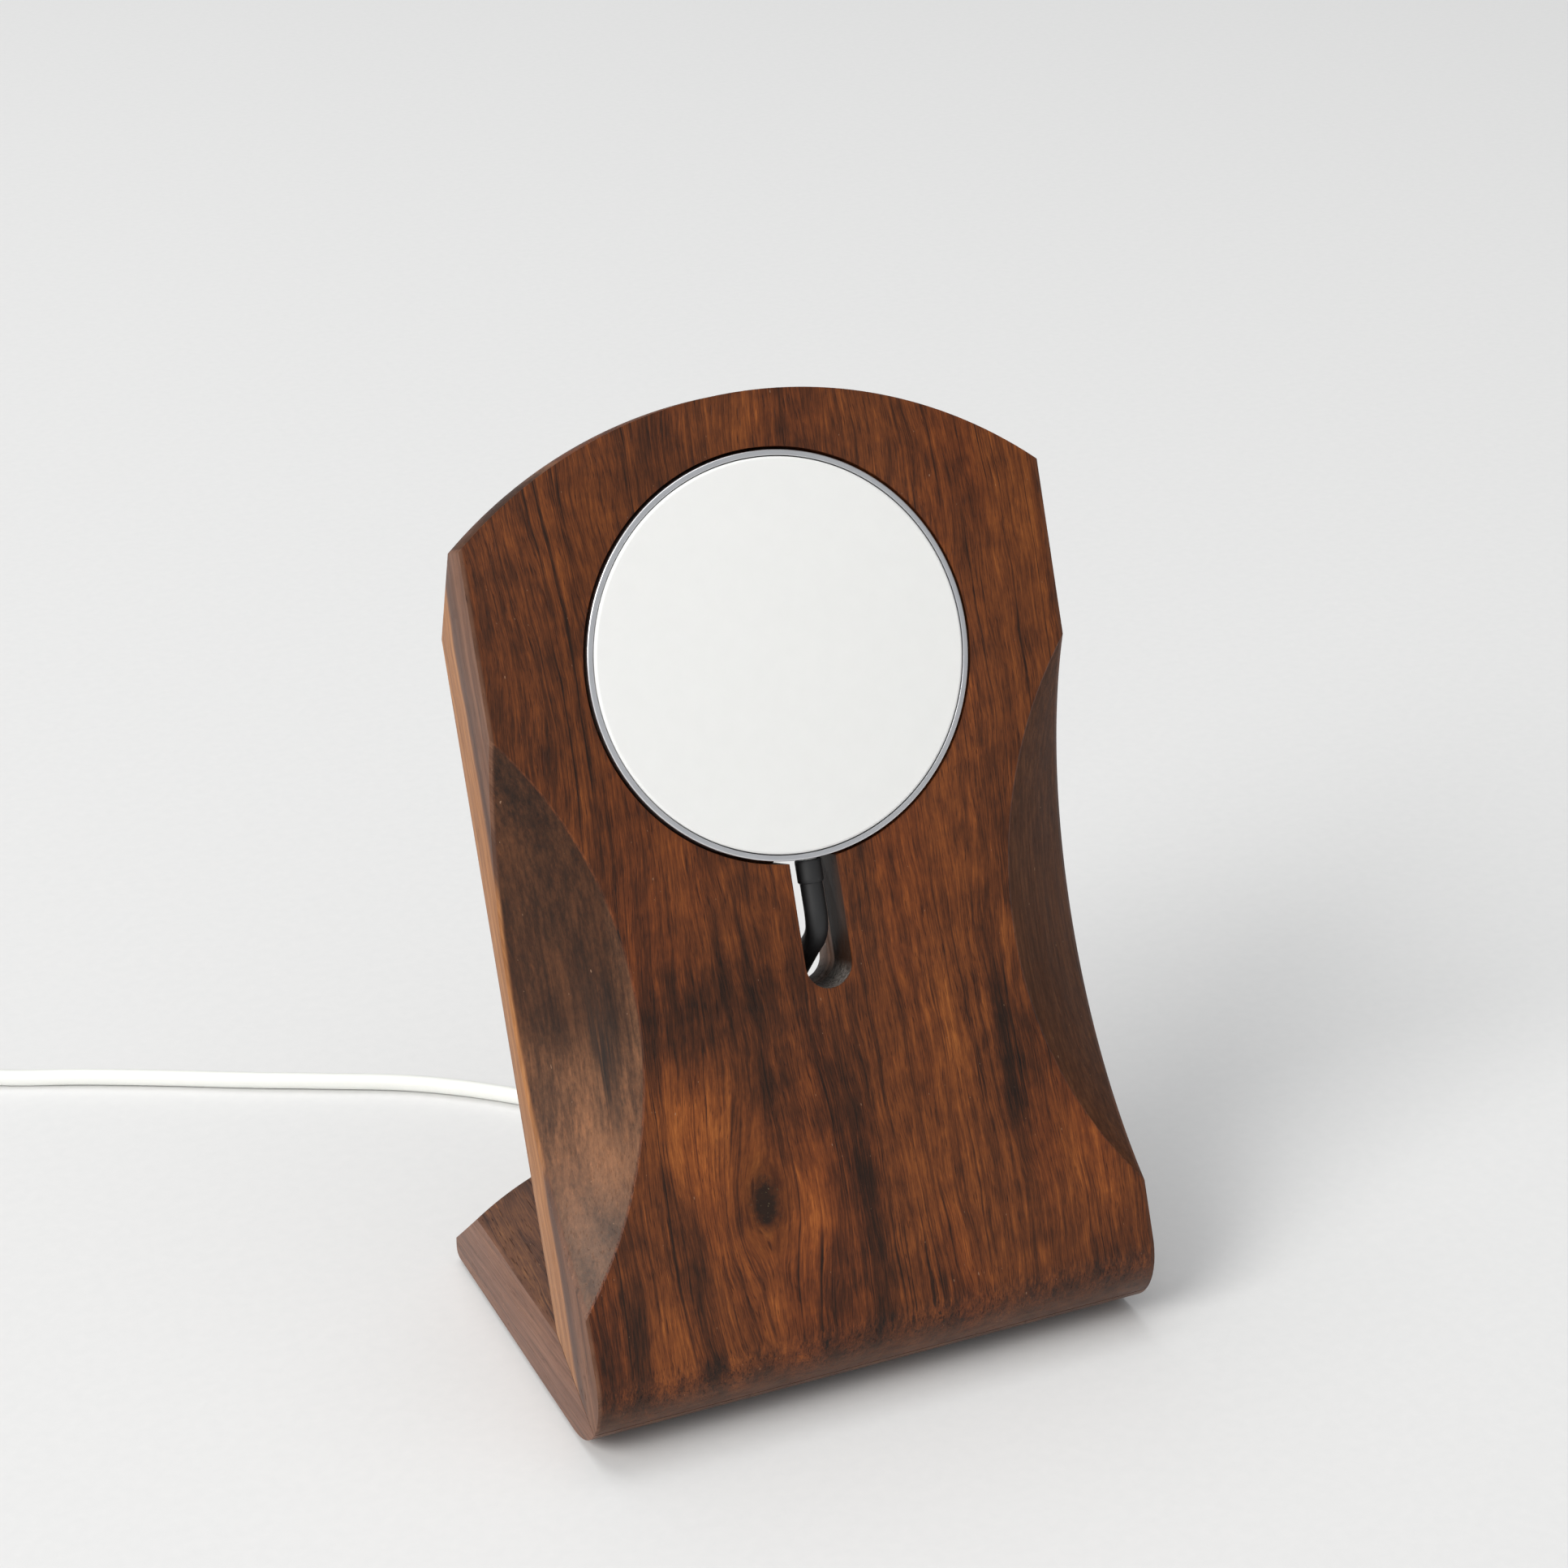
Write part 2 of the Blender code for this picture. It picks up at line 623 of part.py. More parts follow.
# lying on the desk: x, y
CABLE_DESK = [
    (-18.7, 61.8), (-26.2, 68.2), (-34.0, 73.5), (-45.4, 79.3),
    (-57.2, 85.1), (-69.0, 91.2), (-80.9, 97.0), (-92.9, 102.3),
]
# rising into the plug: distance behind its rear, drop below its axis
CABLE_TAIL = [(9.0, 0.9), (6.4, 0.1), (3.4, 0.0), (0.5, 0.0)]

CABLE_SPACING = 2.6
CABLE_FINE_SPANS = 10

SLEEVE_R = 1.58
SLEEVE_BORE_R = 1.42
SLEEVE_COLLAR = 0.25            # extra radius at the disc end
SLEEVE_COLLAR_POINTS = 3
SLEEVE_SPACING = 1.3
SLEEVE_ANCHORS = slice(1, 10)   # the cable anchors it covers


def cable_anchors():
    heading = math.radians(PLUG_HEADING)
    forward = Vector((math.cos(heading), math.sin(heading), 0))
    anchors = [on_panel(PUCK_UP - down, CABLE_OUT - depth) for down, depth in CABLE_LEAD]
    anchors += [Vector(point) for point in CABLE_FREE]
    anchors += [Vector((x, y, CABLE_R + DESK_GAP)) for x, y in CABLE_DESK]
    anchors += [Vector(PLUG_REAR) - forward * behind - Vector((0, 0, drop))
                for behind, drop in CABLE_TAIL]
    return anchors


def build_cable(mats, anchors):
    path = curve_through(anchors, CABLE_SPACING, CABLE_FINE_SPANS)
    loft("charging_cable", path_rings(path, [CABLE_R] * len(path), 12),
         mats["white_cable_polymer"])


def build_sleeve(mats, anchors):
    """Dark sleeve round the cable where it leaves the disc and bends back."""
    path = curve_through(anchors[SLEEVE_ANCHORS], SLEEVE_SPACING)
    radii = [SLEEVE_R + SLEEVE_COLLAR] * SLEEVE_COLLAR_POINTS
    radii += [SLEEVE_R] * (len(path) - SLEEVE_COLLAR_POINTS)
    outer = path_rings(path, radii, 14)
    inner = path_rings(path, [SLEEVE_BORE_R] * len(path), 14)
    loft("cable_sleeve", outer + inner[::-1], mats["dark_rubber"], joined=True)


# --------------------------------------------------------------------- plug
# In the plug's frame +Z points along the plug and +Y across its width.
# soft tail: radius, z
RELIEF_PROFILE = [(1.55, -6.0), (1.8, -6.0), (2.0, -5.6), (2.35, -0.3), (1.55, -0.3)]
# body: z, inset from the full width and height
BODY_STATIONS = [
    (0.0, 0.7), (0.25, 0.25), (0.8, 0.0),
    (PLUG_LEN - 0.5, 0.0), (PLUG_LEN - 0.15, 0.15), (PLUG_LEN, 0.5),
]
BODY_FLAT = 0.15        # half height of the flat left between the corner rounds
CONNECTOR_Z = PLUG_LEN + 0.2
# name, outer and inner (half width, half height), rear, front and inner floor
# ahead of CONNECTOR_Z, material
CONNECTOR_CUPS = [
    ("plug_shell", (4.17, 1.28), (3.87, 0.98), 0.0, 6.5, 0.3, "bright_steel"),
    ("plug_contact_block", (3.72, 0.83), (3.3, 0.42), 0.5, 6.1, 1.6, "dark_rubber"),
]


def build_plug(mats):
    """Soft tail, moulded body, metal shell and the contact block in it."""
    white = mats["white_cable_polymer"]
    plug = empty("plug_frame", Matrix.Translation(Vector(PLUG_REAR) * MM)
                 @ Matrix.Rotation(math.radians(PLUG_HEADING), 4, "Z")
                 @ Matrix.Rotation(math.pi / 2, 4, "Y"))
    turned("plug_strain_relief", RELIEF_PROFILE, 20, white, plug)

    levels = []
    for z, inset in BODY_STATIONS:
        half_h, half_w = PLUG_H / 2 - inset, PLUG_W / 2 - inset
        levels.append((z, rounded_box(half_h, half_w, half_h - BODY_FLAT, 6)))
    stacked("plug_body", levels, white, plug)

    for name, outer_size, inner_size, rear, front, floor, mat in CONNECTOR_CUPS:
        outer, inner = stadium(*outer_size, 8), stadium(*inner_size, 8)
        levels = [(floor, inner), (front, inner), (front, outer), (rear, outer)]
        stacked(name, [(CONNECTOR_Z + z, outline) for z, outline in levels], mats[mat], plug)


# ----------------------------------------------------------------- assembly
def clear_scene():
    for obj in list(bpy.data.objects):
        bpy.data.objects.remove(obj, do_unlink=True)


def main():
    clear_scene()
    mats = build_materials()
    build_boards(mats)
    build_grip_pad(mats)
    build_puck(mats)
    anchors = cable_anchors()
    build_cable(mats, anchors)
    build_sleeve(mats, anchors)
    build_plug(mats)


main()
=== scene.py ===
"""Looks of a leaning phone stand with a charging disc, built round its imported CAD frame.

The world frame is metres with +Z up; the desk is z = 0.  The stand faces -Y, so -X is its left
seen from the front.  A base board lies on the desk and a panel leans back from its front edge;
the two meet in a mitre behind a rounded nose.  All sizes here are millimetres.
"""

import math

import bmesh
import bpy
from mathutils import Matrix, Vector


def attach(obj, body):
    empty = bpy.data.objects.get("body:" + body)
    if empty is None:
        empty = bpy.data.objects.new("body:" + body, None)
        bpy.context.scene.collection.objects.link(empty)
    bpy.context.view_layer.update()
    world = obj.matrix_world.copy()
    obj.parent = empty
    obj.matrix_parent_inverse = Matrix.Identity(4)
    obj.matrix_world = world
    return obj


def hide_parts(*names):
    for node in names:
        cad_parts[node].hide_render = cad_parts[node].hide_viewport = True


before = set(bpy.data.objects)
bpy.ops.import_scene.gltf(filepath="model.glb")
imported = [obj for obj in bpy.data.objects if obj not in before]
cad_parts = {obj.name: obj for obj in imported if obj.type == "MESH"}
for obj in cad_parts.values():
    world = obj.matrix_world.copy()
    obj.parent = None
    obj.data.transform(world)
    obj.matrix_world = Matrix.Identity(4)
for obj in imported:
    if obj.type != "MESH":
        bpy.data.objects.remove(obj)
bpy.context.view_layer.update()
MM = 0.001

# ------------------------------------------------------------ design numbers
WIDTH = 85.4
LEAN = math.radians(21.75)                  # of the panel, back from the vertical
PANEL_THICK, PANEL_LENGTH = 14.0, 142.0
BASE_THICK, BASE_UNDERSIDE = 12.0, 1.0
CORNER_Y = -39.91                           # where the panel's front meets the base's underside
NOSE_RADIUS = 10.0                          # rounds that corner
MITRE_GAP = 0.2

# the curved free ends of both boards
END_RADIUS, END_APEX_Y = 67.2, 28.0         # apex of the base's rear end, at its top face
END_CHAMFER, END_CHAMFER_HEIGHT, END_FOOT_RADIUS = 8.1, 9.2, 1.2

# "up" is measured along the panel from the corner
SCOOP_RADIUS, SCOOP_UP, SCOOP_INSET = 61.0, 62.5, 14.45
SCOOP_ANGLE = math.radians(36.3)            # between the scoop's wall and the front face
PUCK_UP, PUCK_RADIUS, PUCK_THICK, PUCK_PROUD = 105.9, 27.95, 5.4, 0.6
PUCK_WALL = 0.8
RECESS_RADIUS, RECESS_DEPTH = 28.4, 5.7
SLOT_WIDTH, SLOT_LOW_UP, SLOT_HIGH_UP = 7.1, 59.8, 82.0
SLOT_STEP_DEPTH, SLOT_STEP_WIDTH, SLOT_BACK_CHAMFER = 8.0, 0.35, 3.0

SPLINE_THICK, SPLINE_WIDTH, SPLINE_LENGTH, SPLINE_FROM_HEEL = 3.0, 7.0, 64.0, 9.5
FIT_GAP = 0.2
EDGE_ROUND, MITRE_EDGE_ROUND = 0.40, 0.10
PAD_HALF_X, PAD_HALF_Y, PAD_CORNER_RADIUS, PAD_THICK = 34.0, 20.0, 5.0, 0.8

DESK_GAP = 0.05                             # under the cable and the plug
CABLE_RADIUS, CABLE_SPACING, CABLE_END_ROUND = 1.3, 0.9, 0.2
SLEEVE_RADIUS, SLEEVE_BORE_RADIUS, SLEEVE_SPACING = 1.58, 1.42, 0.6
COLLAR_LENGTH, COLLAR_STEP = 3.2, 0.25
PLUG_LENGTH, PLUG_WIDTH, PLUG_HEIGHT = 19.0, 12.35, 6.5
PLUG_AT = Vector((-108.2, 109.0, PLUG_HEIGHT / 2 + DESK_GAP))   # rear end of the moulding
PLUG_HEADING = math.radians(156.2)

SIN_LEAN, COS_LEAN = math.sin(LEAN), math.cos(LEAN)
HALF_WIDTH = WIDTH / 2.0
BASE_TOP = BASE_UNDERSIDE + BASE_THICK
PUCK_BACK = PUCK_PROUD - PUCK_THICK         # measured out of the panel's front face
CABLE_OUT = PUCK_BACK + PUCK_THICK / 2      # the cable leaves at half the disc's thickness


def on_panel(x, up, out):
    """World place, in mm, of a point in the panel's frame."""
    return Vector((x, CORNER_Y + up * SIN_LEAN - out * COS_LEAN,
                   BASE_UNDERSIDE + up * COS_LEAN + out * SIN_LEAN))


def panel_matrix(up):
    """Frame on the panel's front face: x across, y up the panel, z out of it."""
    return (Matrix.Translation(on_panel(0.0, up, 0.0) * MM)
            @ Matrix.Rotation(math.pi / 2 - LEAN, 4, "X"))


def to_panel(y, z):
    """A point of the Y-Z plane in the panel's own (up, out) coordinates."""
    dy, dz = y - CORNER_Y, z - BASE_UNDERSIDE
    return (dy * SIN_LEAN + dz * COS_LEAN, -dy * COS_LEAN + dz * SIN_LEAN)


DISC_FRAME = panel_matrix(PUCK_UP)


# -------------------------------------------------------------- mesh helpers
def loft(loops, closed_ends=True):
    """Skin over loops of equal length, capped, or joined last to first."""
    bm = bmesh.new()
    rings = [[bm.verts.new(Vector(point) * MM) for point in loop] for loop in loops]
    count = len(rings[0])
    for low, high in zip(rings, rings[1:]):
        for i in range(count):
            j = (i + 1) % count
            bm.faces.new((low[i], low[j], high[j], high[i]))
    if closed_ends:
        bm.faces.new(list(reversed(rings[0])))
        bm.faces.new(rings[-1])
    else:
        for i in range(count):
            j = (i + 1) % count
            bm.faces.new((rings[-1][i], rings[-1][j], rings[0][j], rings[0][i]))
    return bm


def turned(profile, steps):
    """Closed (radius, height) profile turned about z; points on the axis become poles."""
    bm = bmesh.new()
    rings = []
    for radius, height in profile:
        if radius < 1e-6:
            rings.append([bm.verts.new(Vector((0, 0, height)) * MM)])
            continue
        angles = [2 * math.pi * k / steps for k in range(steps)]
        rings.append([bm.verts.new(Vector((radius * math.cos(angle), radius * math.sin(angle),
                                           height)) * MM) for angle in angles])
    for one, two in zip(rings, rings[1:] + rings[:1]):
        if len(one) == 1 and len(two) == 1:
            continue
        for k in range(steps):
            m = (k + 1) % steps
            if len(one) == 1:
                bm.faces.new((one[0], two[m], two[k]))
            elif len(two) == 1:
                bm.faces.new((one[k], one[m], two[0]))
            else:
                bm.faces.new((one[k], one[m], two[m], two[k]))
    return bm


def cylinder(radius, low, high, steps):
    return turned([(0, low), (radius, low), (radius, high), (0, high)], steps)


def fillet(points, steps):
    """Closed profile of (radius, height) points; a third number rounds that corner."""
    out = []
    for i, (x, y, *rounding) in enumerate(points):
        if not rounding:
            out.append((x, y))
            continue
        radius = rounding[0]
        corner = Vector((x, y))
        before = (Vector(points[i - 1][:2]) - corner).normalized()
        after = (Vector(points[(i + 1) % len(points)][:2]) - corner).normalized()
        half = before.angle(after) / 2
        back = radius / math.tan(half)
        centre = corner + (before + after).normalized() * (radius / math.sin(half))
        first = corner + before * back - centre
        final = corner + after * back - centre
        start = math.atan2(first.y, first.x)
        turn = math.atan2(final.y, final.x) - start
        turn = (turn + math.pi) % (2 * math.pi) - math.pi
        for k in range(steps + 1):
            angle = start + turn * k / steps
            out.append((centre.x + radius * math.cos(angle), centre.y + radius * math.sin(angle)))
    return out


def quarter_round(steps):
    """(1 - cos, 1 - sin) pairs through a quarter turn."""
    angles = [math.pi / 2 * k / steps for k in range(steps + 1)]
    return [(1 - math.cos(angle), 1 - math.sin(angle)) for angle in angles]


def stadium(half_long, half_wide, steps, centre_y=0.0):
    """Outline with round ends, long in y."""
    points = []
    reach = half_long - half_wide
    for end in (1, -1):
        for k in range(steps + 1):
            angle = math.pi * k / steps
            points.append((half_wide * math.cos(angle) * end,
                           reach * end + half_wide * math.sin(angle) * end + centre_y))
    return points


def rounded_box(half_x, half_y, radius, steps=16):
    points = []
    for n, (side_x, side_y) in enumerate(((1, 1), (-1, 1), (-1, -1), (1, -1))):
        for k in range(steps + 1):
            angle = math.pi / 2 * (n + k / steps)
            points.append((side_x * (half_x - radius) + radius * math.cos(angle),
                           side_y * (half_y - radius) + radius * math.sin(angle)))
    return points


def between(start, end, start_time, end_time, time):
    span = end_time - start_time
    return start * ((end_time - time) / span) + end * ((time - start_time) / span)


def curve_through(anchors, spacing):
    """Centripetal Catmull-Rom curve through the anchors."""
    knots = [anchors[0] * 2 - anchors[1]] + anchors + [anchors[-1] * 2 - anchors[-2]]
    path = [anchors[0]]
    for i in range(1, len(knots) - 2):
        four = knots[i - 1:i + 3]
        times = [0.0]
        for one, two in zip(four, four[1:]):
            times.append(times[-1] + (two - one).length ** 0.5)
        steps = max(2, round((four[2] - four[1]).length / spacing))
        for k in range(1, steps + 1):
            time = times[1] + (times[2] - times[1]) * k / steps
            lines = [between(four[n], four[n + 1], times[n], times[n + 1], time)
                     for n in range(3)]
            bends = [between(lines[n], lines[n + 1], times[n], times[n + 2], time)
                     for n in range(2)]
            path.append(between(bends[0], bends[1], times[1], times[2], time))
    return path


def tube_loops(path, sections, sides=32):
    """Circles round a path; a section is (path index, radius, shift along the path)."""
    frames = []
    side = Vector((1, 0, 0))
    for i, point in enumerate(path):
        along = (path[min(i + 1, len(path) - 1)] - path[max(i - 1, 0)]).normalized()
        side = (side - along * side.dot(along)).normalized()
        frames.append((point, side, along.cross(side), along))
    loops = []
    for index, radius, shift in sections:
        point, side, other, along = frames[index]
        angles = [2 * math.pi * k / sides for k in range(sides)]
        loops.append([point + along * shift + side * (radius * math.cos(angle))
                      + other * (radius * math.sin(angle)) for angle in angles])
    return loops


def shade(mesh, sharp):
    """Smooth shading, with edges steeper than `sharp` degrees kept crisp."""
    mesh.shade_smooth()
    mesh.set_sharp_from_angle(angle=math.radians(sharp))


def make(name, bm, material=None, matrix=None, sharp=32.0):
    bmesh.ops.recalc_face_normals(bm, faces=bm.faces)
    mesh = bpy.data.meshes.new(name)
    bm.to_mesh(mesh)
    bm.free()
    shade(mesh, sharp)
    obj = bpy.data.objects.new(name, mesh)
    bpy.context.scene.collection.objects.link(obj)
    if matrix is not None:
        obj.matrix_world = matrix
    if material:
        mesh.materials.append(material)
    return obj


def apply_modifiers(obj):
    bpy.context.view_layer.update()
    graph = bpy.context.evaluated_depsgraph_get()
    mesh = bpy.data.meshes.new_from_object(obj.evaluated_get(graph))
    old = obj.data
    obj.modifiers.clear()
    obj.data = mesh
    bpy.data.meshes.remove(old)


def boolean(target, cutter, operation="DIFFERENCE"):
    """Cut the target and throw the cutter away."""
    modifier = target.modifiers.new("cut", "BOOLEAN")
    modifier.operation = operation
    modifier.solver = "EXACT"
    modifier.object = cutter
    apply_modifiers(target)
    bpy.data.objects.remove(cutter, do_unlink=True)


def enter(obj, replaces):
    """Hang the object on the root body and hide the CAD piece it stands for."""
    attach(obj, "root")
    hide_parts(replaces)


# ------------------------------------------------------------- node building
class Value:
    """A node's output; arithmetic on it adds Math nodes."""

    def __init__(self, graph, socket):
        self.graph = graph
        self.socket = socket

    def __add__(self, other):
        return self.graph.math("ADD", self, other)

    def __radd__(self, other):
        return self.graph.math("ADD", other, self)

    def __sub__(self, other):
        return self.graph.math("SUBTRACT", self, other)

    def __rsub__(self, other):
        return self.graph.math("SUBTRACT", other, self)

    def __mul__(self, other):
        return self.graph.math("MULTIPLY", self, other)

    def __rtruediv__(self, other):
        return self.graph.math("DIVIDE", other, self)

    def __abs__(self):
        return self.graph.math("ABSOLUTE", self)

    def centred(self, amount):
        """A 0..1 value made to swing about zero, `amount` from end to end."""
        return (self - 0.5) * amount

    def fade(self, start, end, low=0.0, high=1.0):
        """Smooth step: `low` where the value is `start`, `high` where it is `end`."""
        node = self.graph.node("ShaderNodeMapRange", interpolation_type="SMOOTHSTEP")
        for socket, value in zip(node.inputs, (self, start, end, low, high)):
            self.graph.put(socket, value)
        return Value(self.graph, node.outputs[0])


class Graph:
    """Short names for building a node tree."""

    def __init__(self, tree):
        self.tree = tree
        self.count = 0

    def node(self, kind, **props):
        node = self.tree.nodes.new(kind)
        node.location = (160 * (self.count // 8), -180 * (self.count % 8))
        self.count += 1
        for key, value in props.items():
            setattr(node, key, value)
        return node

    def put(self, socket, value):
        """Link a Value to a socket, or set the socket's own value."""
        if isinstance(value, Value):
            self.tree.links.new(value.socket, socket)
        elif isinstance(value, tuple) and len(value) == 3 and socket.type == "RGBA":
            socket.default_value = (*value, 1.0)
        else:
            socket.default_value = value

    def math(self, operation, *values):
        node = self.node("ShaderNodeMath", operation=operation)
        for socket, value in zip(node.inputs, values):
            self.put(socket, value)
        return Value(self, node.outputs[0])

    def xyz(self, *parts):
        node = self.node("ShaderNodeCombineXYZ")
        for socket, value in zip(node.inputs, parts):
            self.put(socket, value)
        return Value(self, node.outputs[0])

    def split(self, vector):
        node = self.node("ShaderNodeSeparateXYZ")
        self.put(node.inputs[0], vector)
        return [Value(self, socket) for socket in node.outputs]

    def coordinates(self, kind):
        node = self.node("ShaderNodeTexCoord")
        return Value(self, node.outputs[kind])

    def noise(self, point, per_mm=None, shift=None, scale=1.0, detail=2.0, rough=0.5):
        """Noise at a vector, or at three parts, each multiplied by its rate in per_mm.

        A low rate stretches the pattern that way.  A constant part has the rate 1 and picks
        a slice of the noise; shift moves the pattern in y.
        """
        if per_mm:
            x, y, z = (part * rate for part, rate in zip(point, per_mm))
            if shift is not None:
                y = y + shift
            point = self.xyz(x, y, z)
        node = self.node("ShaderNodeTexNoise", noise_dimensions="3D")
        self.put(node.inputs["Vector"], point)
        node.inputs["Scale"].default_value = scale
        node.inputs["Detail"].default_value = detail
        node.inputs["Roughness"].default_value = rough
        return Value(self, node.outputs[0])

    def spot(self, dx, dy, reach_x, reach_y):
        """Soft round spot: 1 where dx = dy = 0, 1/e at the reaches."""
        dx = dx * (1.0 / reach_x)
        dy = dy * (1.0 / reach_y)
        return self.math("EXPONENT", (dx * dx + dy * dy) * -1.0)

    def ramp(self, level, *stops):
        """Colour ramp; a stop is (position, linear colour)."""
        node = self.node("ShaderNodeValToRGB")
        node.color_ramp.interpolation = "LINEAR"
        elements = node.color_ramp.elements
        while len(elements) < len(stops):
            elements.new(0.5)
        for element, (position, colour) in zip(elements, stops):
            element.position = position
            element.color = (*colour, 1.0)
        self.put(node.inputs[0], level)
        return Value(self, node.outputs[0])

    def shades(self, level, *stops):
        """Colour ramp; a stop is (position, red, green, blue) in sRGB, 0 to 255."""
        return self.ramp(level, *((position, srgb(*colour)) for position, *colour in stops))

    def mix(self, mask, under, over, mode="MIX"):
        node = self.node("ShaderNodeMix", data_type="RGBA", blend_type=mode)
        node.clamp_factor = True
        for index, value in ((0, mask), (6, under), (7, over)):
            self.put(node.inputs[index], value)
        return Value(self, node.outputs[2])

    def stained(self, colour, by):
        return self.mix(1.0, colour, by, mode="MULTIPLY")

    def stain(self, mask, colour, by):
        """Multiply the colour where the mask is set."""
        return self.mix(mask, colour, self.stained(colour, by))

    def bump(self, height, distance_mm, strength=1.0):
        node = self.node("ShaderNodeBump")
        node.inputs["Strength"].default_value = strength
        node.inputs["Distance"].default_value = distance_mm * MM
        self.put(node.inputs["Height"], height)
        return Value(self, node.outputs[0])


class MaterialGraph(Graph):
    def __init__(self, name):
        self.material = bpy.data.materials.new(name)
        self.material.use_nodes = True
        super().__init__(self.material.node_tree)
        self.tree.nodes.clear()

    def object_mm(self):
        node = self.node("ShaderNodeVectorMath", operation="SCALE")
        self.put(node.inputs[0], self.coordinates("Object"))
        node.inputs["Scale"].default_value = 1000.0
        return Value(self, node.outputs[0])

    def finish(self, **inputs):
        shader = self.node("ShaderNodeBsdfPrincipled")
        for key, value in inputs.items():
            self.put(shader.inputs[key.replace("_", " ")], value)
        out = self.node("ShaderNodeOutputMaterial")
        self.tree.links.new(shader.outputs[0], out.inputs[0])
        return self.material


def srgb(*channels):
    """Linear colour of sRGB channels given as 0 to 255."""
    def linear(channel):
        channel = channel / 255.0
        return channel / 12.92 if channel <= 0.04045 else ((channel + 0.055) / 1.055) ** 2.4
    return tuple(linear(channel) for channel in channels)


# --------------------------------------------------------------------- walnut
# Noise layers of the wood: rates per mm (across, along, through the grain), shift, detail, rough
GRAIN = {
    "broad": ((0.09, 0.012, 0.12), 3.1, 2.0, 0.5),
    "bands": ((0.30, 0.022, 0.34), 7.7, 3.0, 0.55),
    "streaks": ((1.15, 0.020, 1.2), 12.3, 3.0, 0.6),
    "mottle": ((0.28, 0.20, 0.28), 17.0, 3.0, 0.6),
    "fibres": ((2.3, 0.15, 2.3), 21.9, 3.0, 0.62),
    "hairs": ((5.2, 0.26, 5.2), 27.3, 3.0, 0.75),
    "thin lines": ((1.7, 0.012, 1.8), 35.0, 3.0, 0.6),
    "line areas": ((0.14, 0.02, 0.16), 37.0, 1.0, 0.5),
    "drift": ((0.07, 0.02, 0.1), 31.0, 2.0, 0.5),
    "long pores": ((3.2, 0.24, 3.2), 40.0, 1.0, 0.4),
    "short pores": ((5.6, 0.46, 5.6), 52.0, 1.0, 0.4),
    "pore areas": ((0.25, 0.03, 0.3), 60.0, 2.0, 0.5),
    "rays": ((4.2, 0.22, 4.2), 70.0, 3.0, 0.65),
    "specks": ((3.0, 1.1, 3.0), 83.0, 0.0, 0.5),
}
# how far each layer swings the tone, where 0 is the darkest wood and 1 the palest
TONE_SWING = {"broad": 0.42, "bands": 0.40, "streaks": 0.44, "mottle": 0.34,
              "fibres": 0.42, "hairs": 0.60}
THIN_LINE_TONE = -0.26
WOOD_SHADES = (
    (0.00, 26, 16, 11), (0.18, 44, 25, 15), (0.34, 72, 38, 20), (0.48, 100, 53, 26),
    (0.62, 127, 70, 32), (0.78, 158, 93, 43), (1.00, 198, 128, 66))


class Knot:
    """A knot at (x, y); the grain parts round it."""

    def __init__(self, x, y, half_width, half_length):
        self.x, self.y = x, y
        self.half_width, self.half_length = half_width, half_length

    def part_grain(self, g, x, y, across):
        """The shifted grain, and the distance from the knot's centre."""
        dx = x - self.x
        dy = (y - self.y) * (self.half_width / self.half_length)
        squared = dx * dx + dy * dy
        spread = self.half_width * self.half_width * 2.3
        across = across - dx * (spread / (squared + spread))
        return across, g.math("SQRT", squared)

    def draw(self, g, point, ring, colour, height):
        """A dark halo, an almost black sunken core and small glints in it."""
        def blot(scale, start, end):
            ragged = ring + g.noise(point, scale=scale, detail=3.0).centred(1.6)
            return ragged.fade(start=self.half_width * start, end=self.half_width * end)

        halo = blot(scale=0.5, start=2.1, end=0.8)
        colour = g.stain(halo * 0.66, colour, by=(0.40, 0.40, 0.44))
        core = blot(scale=1.1, start=1.05, end=0.35)
        colour = g.mix(core * 0.85, colour, srgb(22, 18, 14))
        glint = core * g.noise(point, scale=2.4, detail=2.0).fade(start=0.64, end=0.72)
        colour = g.mix(glint * 0.8, colour, srgb(96, 84, 62))
        return colour, height - core * 2.0


def add_patches(g, tone, patches, x, y, z, across):
    """Lighter and darker patches that follow the grain and end in ragged flames along it."""
    ragged_y = y + g.noise((across, y, z), per_mm=(0.60, 0.06, 0.3),
                           detail=3.0, rough=0.62).centred(16.0)
    sway = g.noise((x, y, 4.0), per_mm=(0.2, 0.12, 1.0), detail=2.0).centred(3.6)
    ragged_x = x + (across - x) * 0.35 + sway
    for patch_x, patch_y, reach_x, reach_y, amount in patches:
        spot = g.spot(ragged_x - patch_x, ragged_y - patch_y, reach_x, reach_y)
        tone = g.math("MULTIPLY_ADD", spot, amount, tone)
    return tone


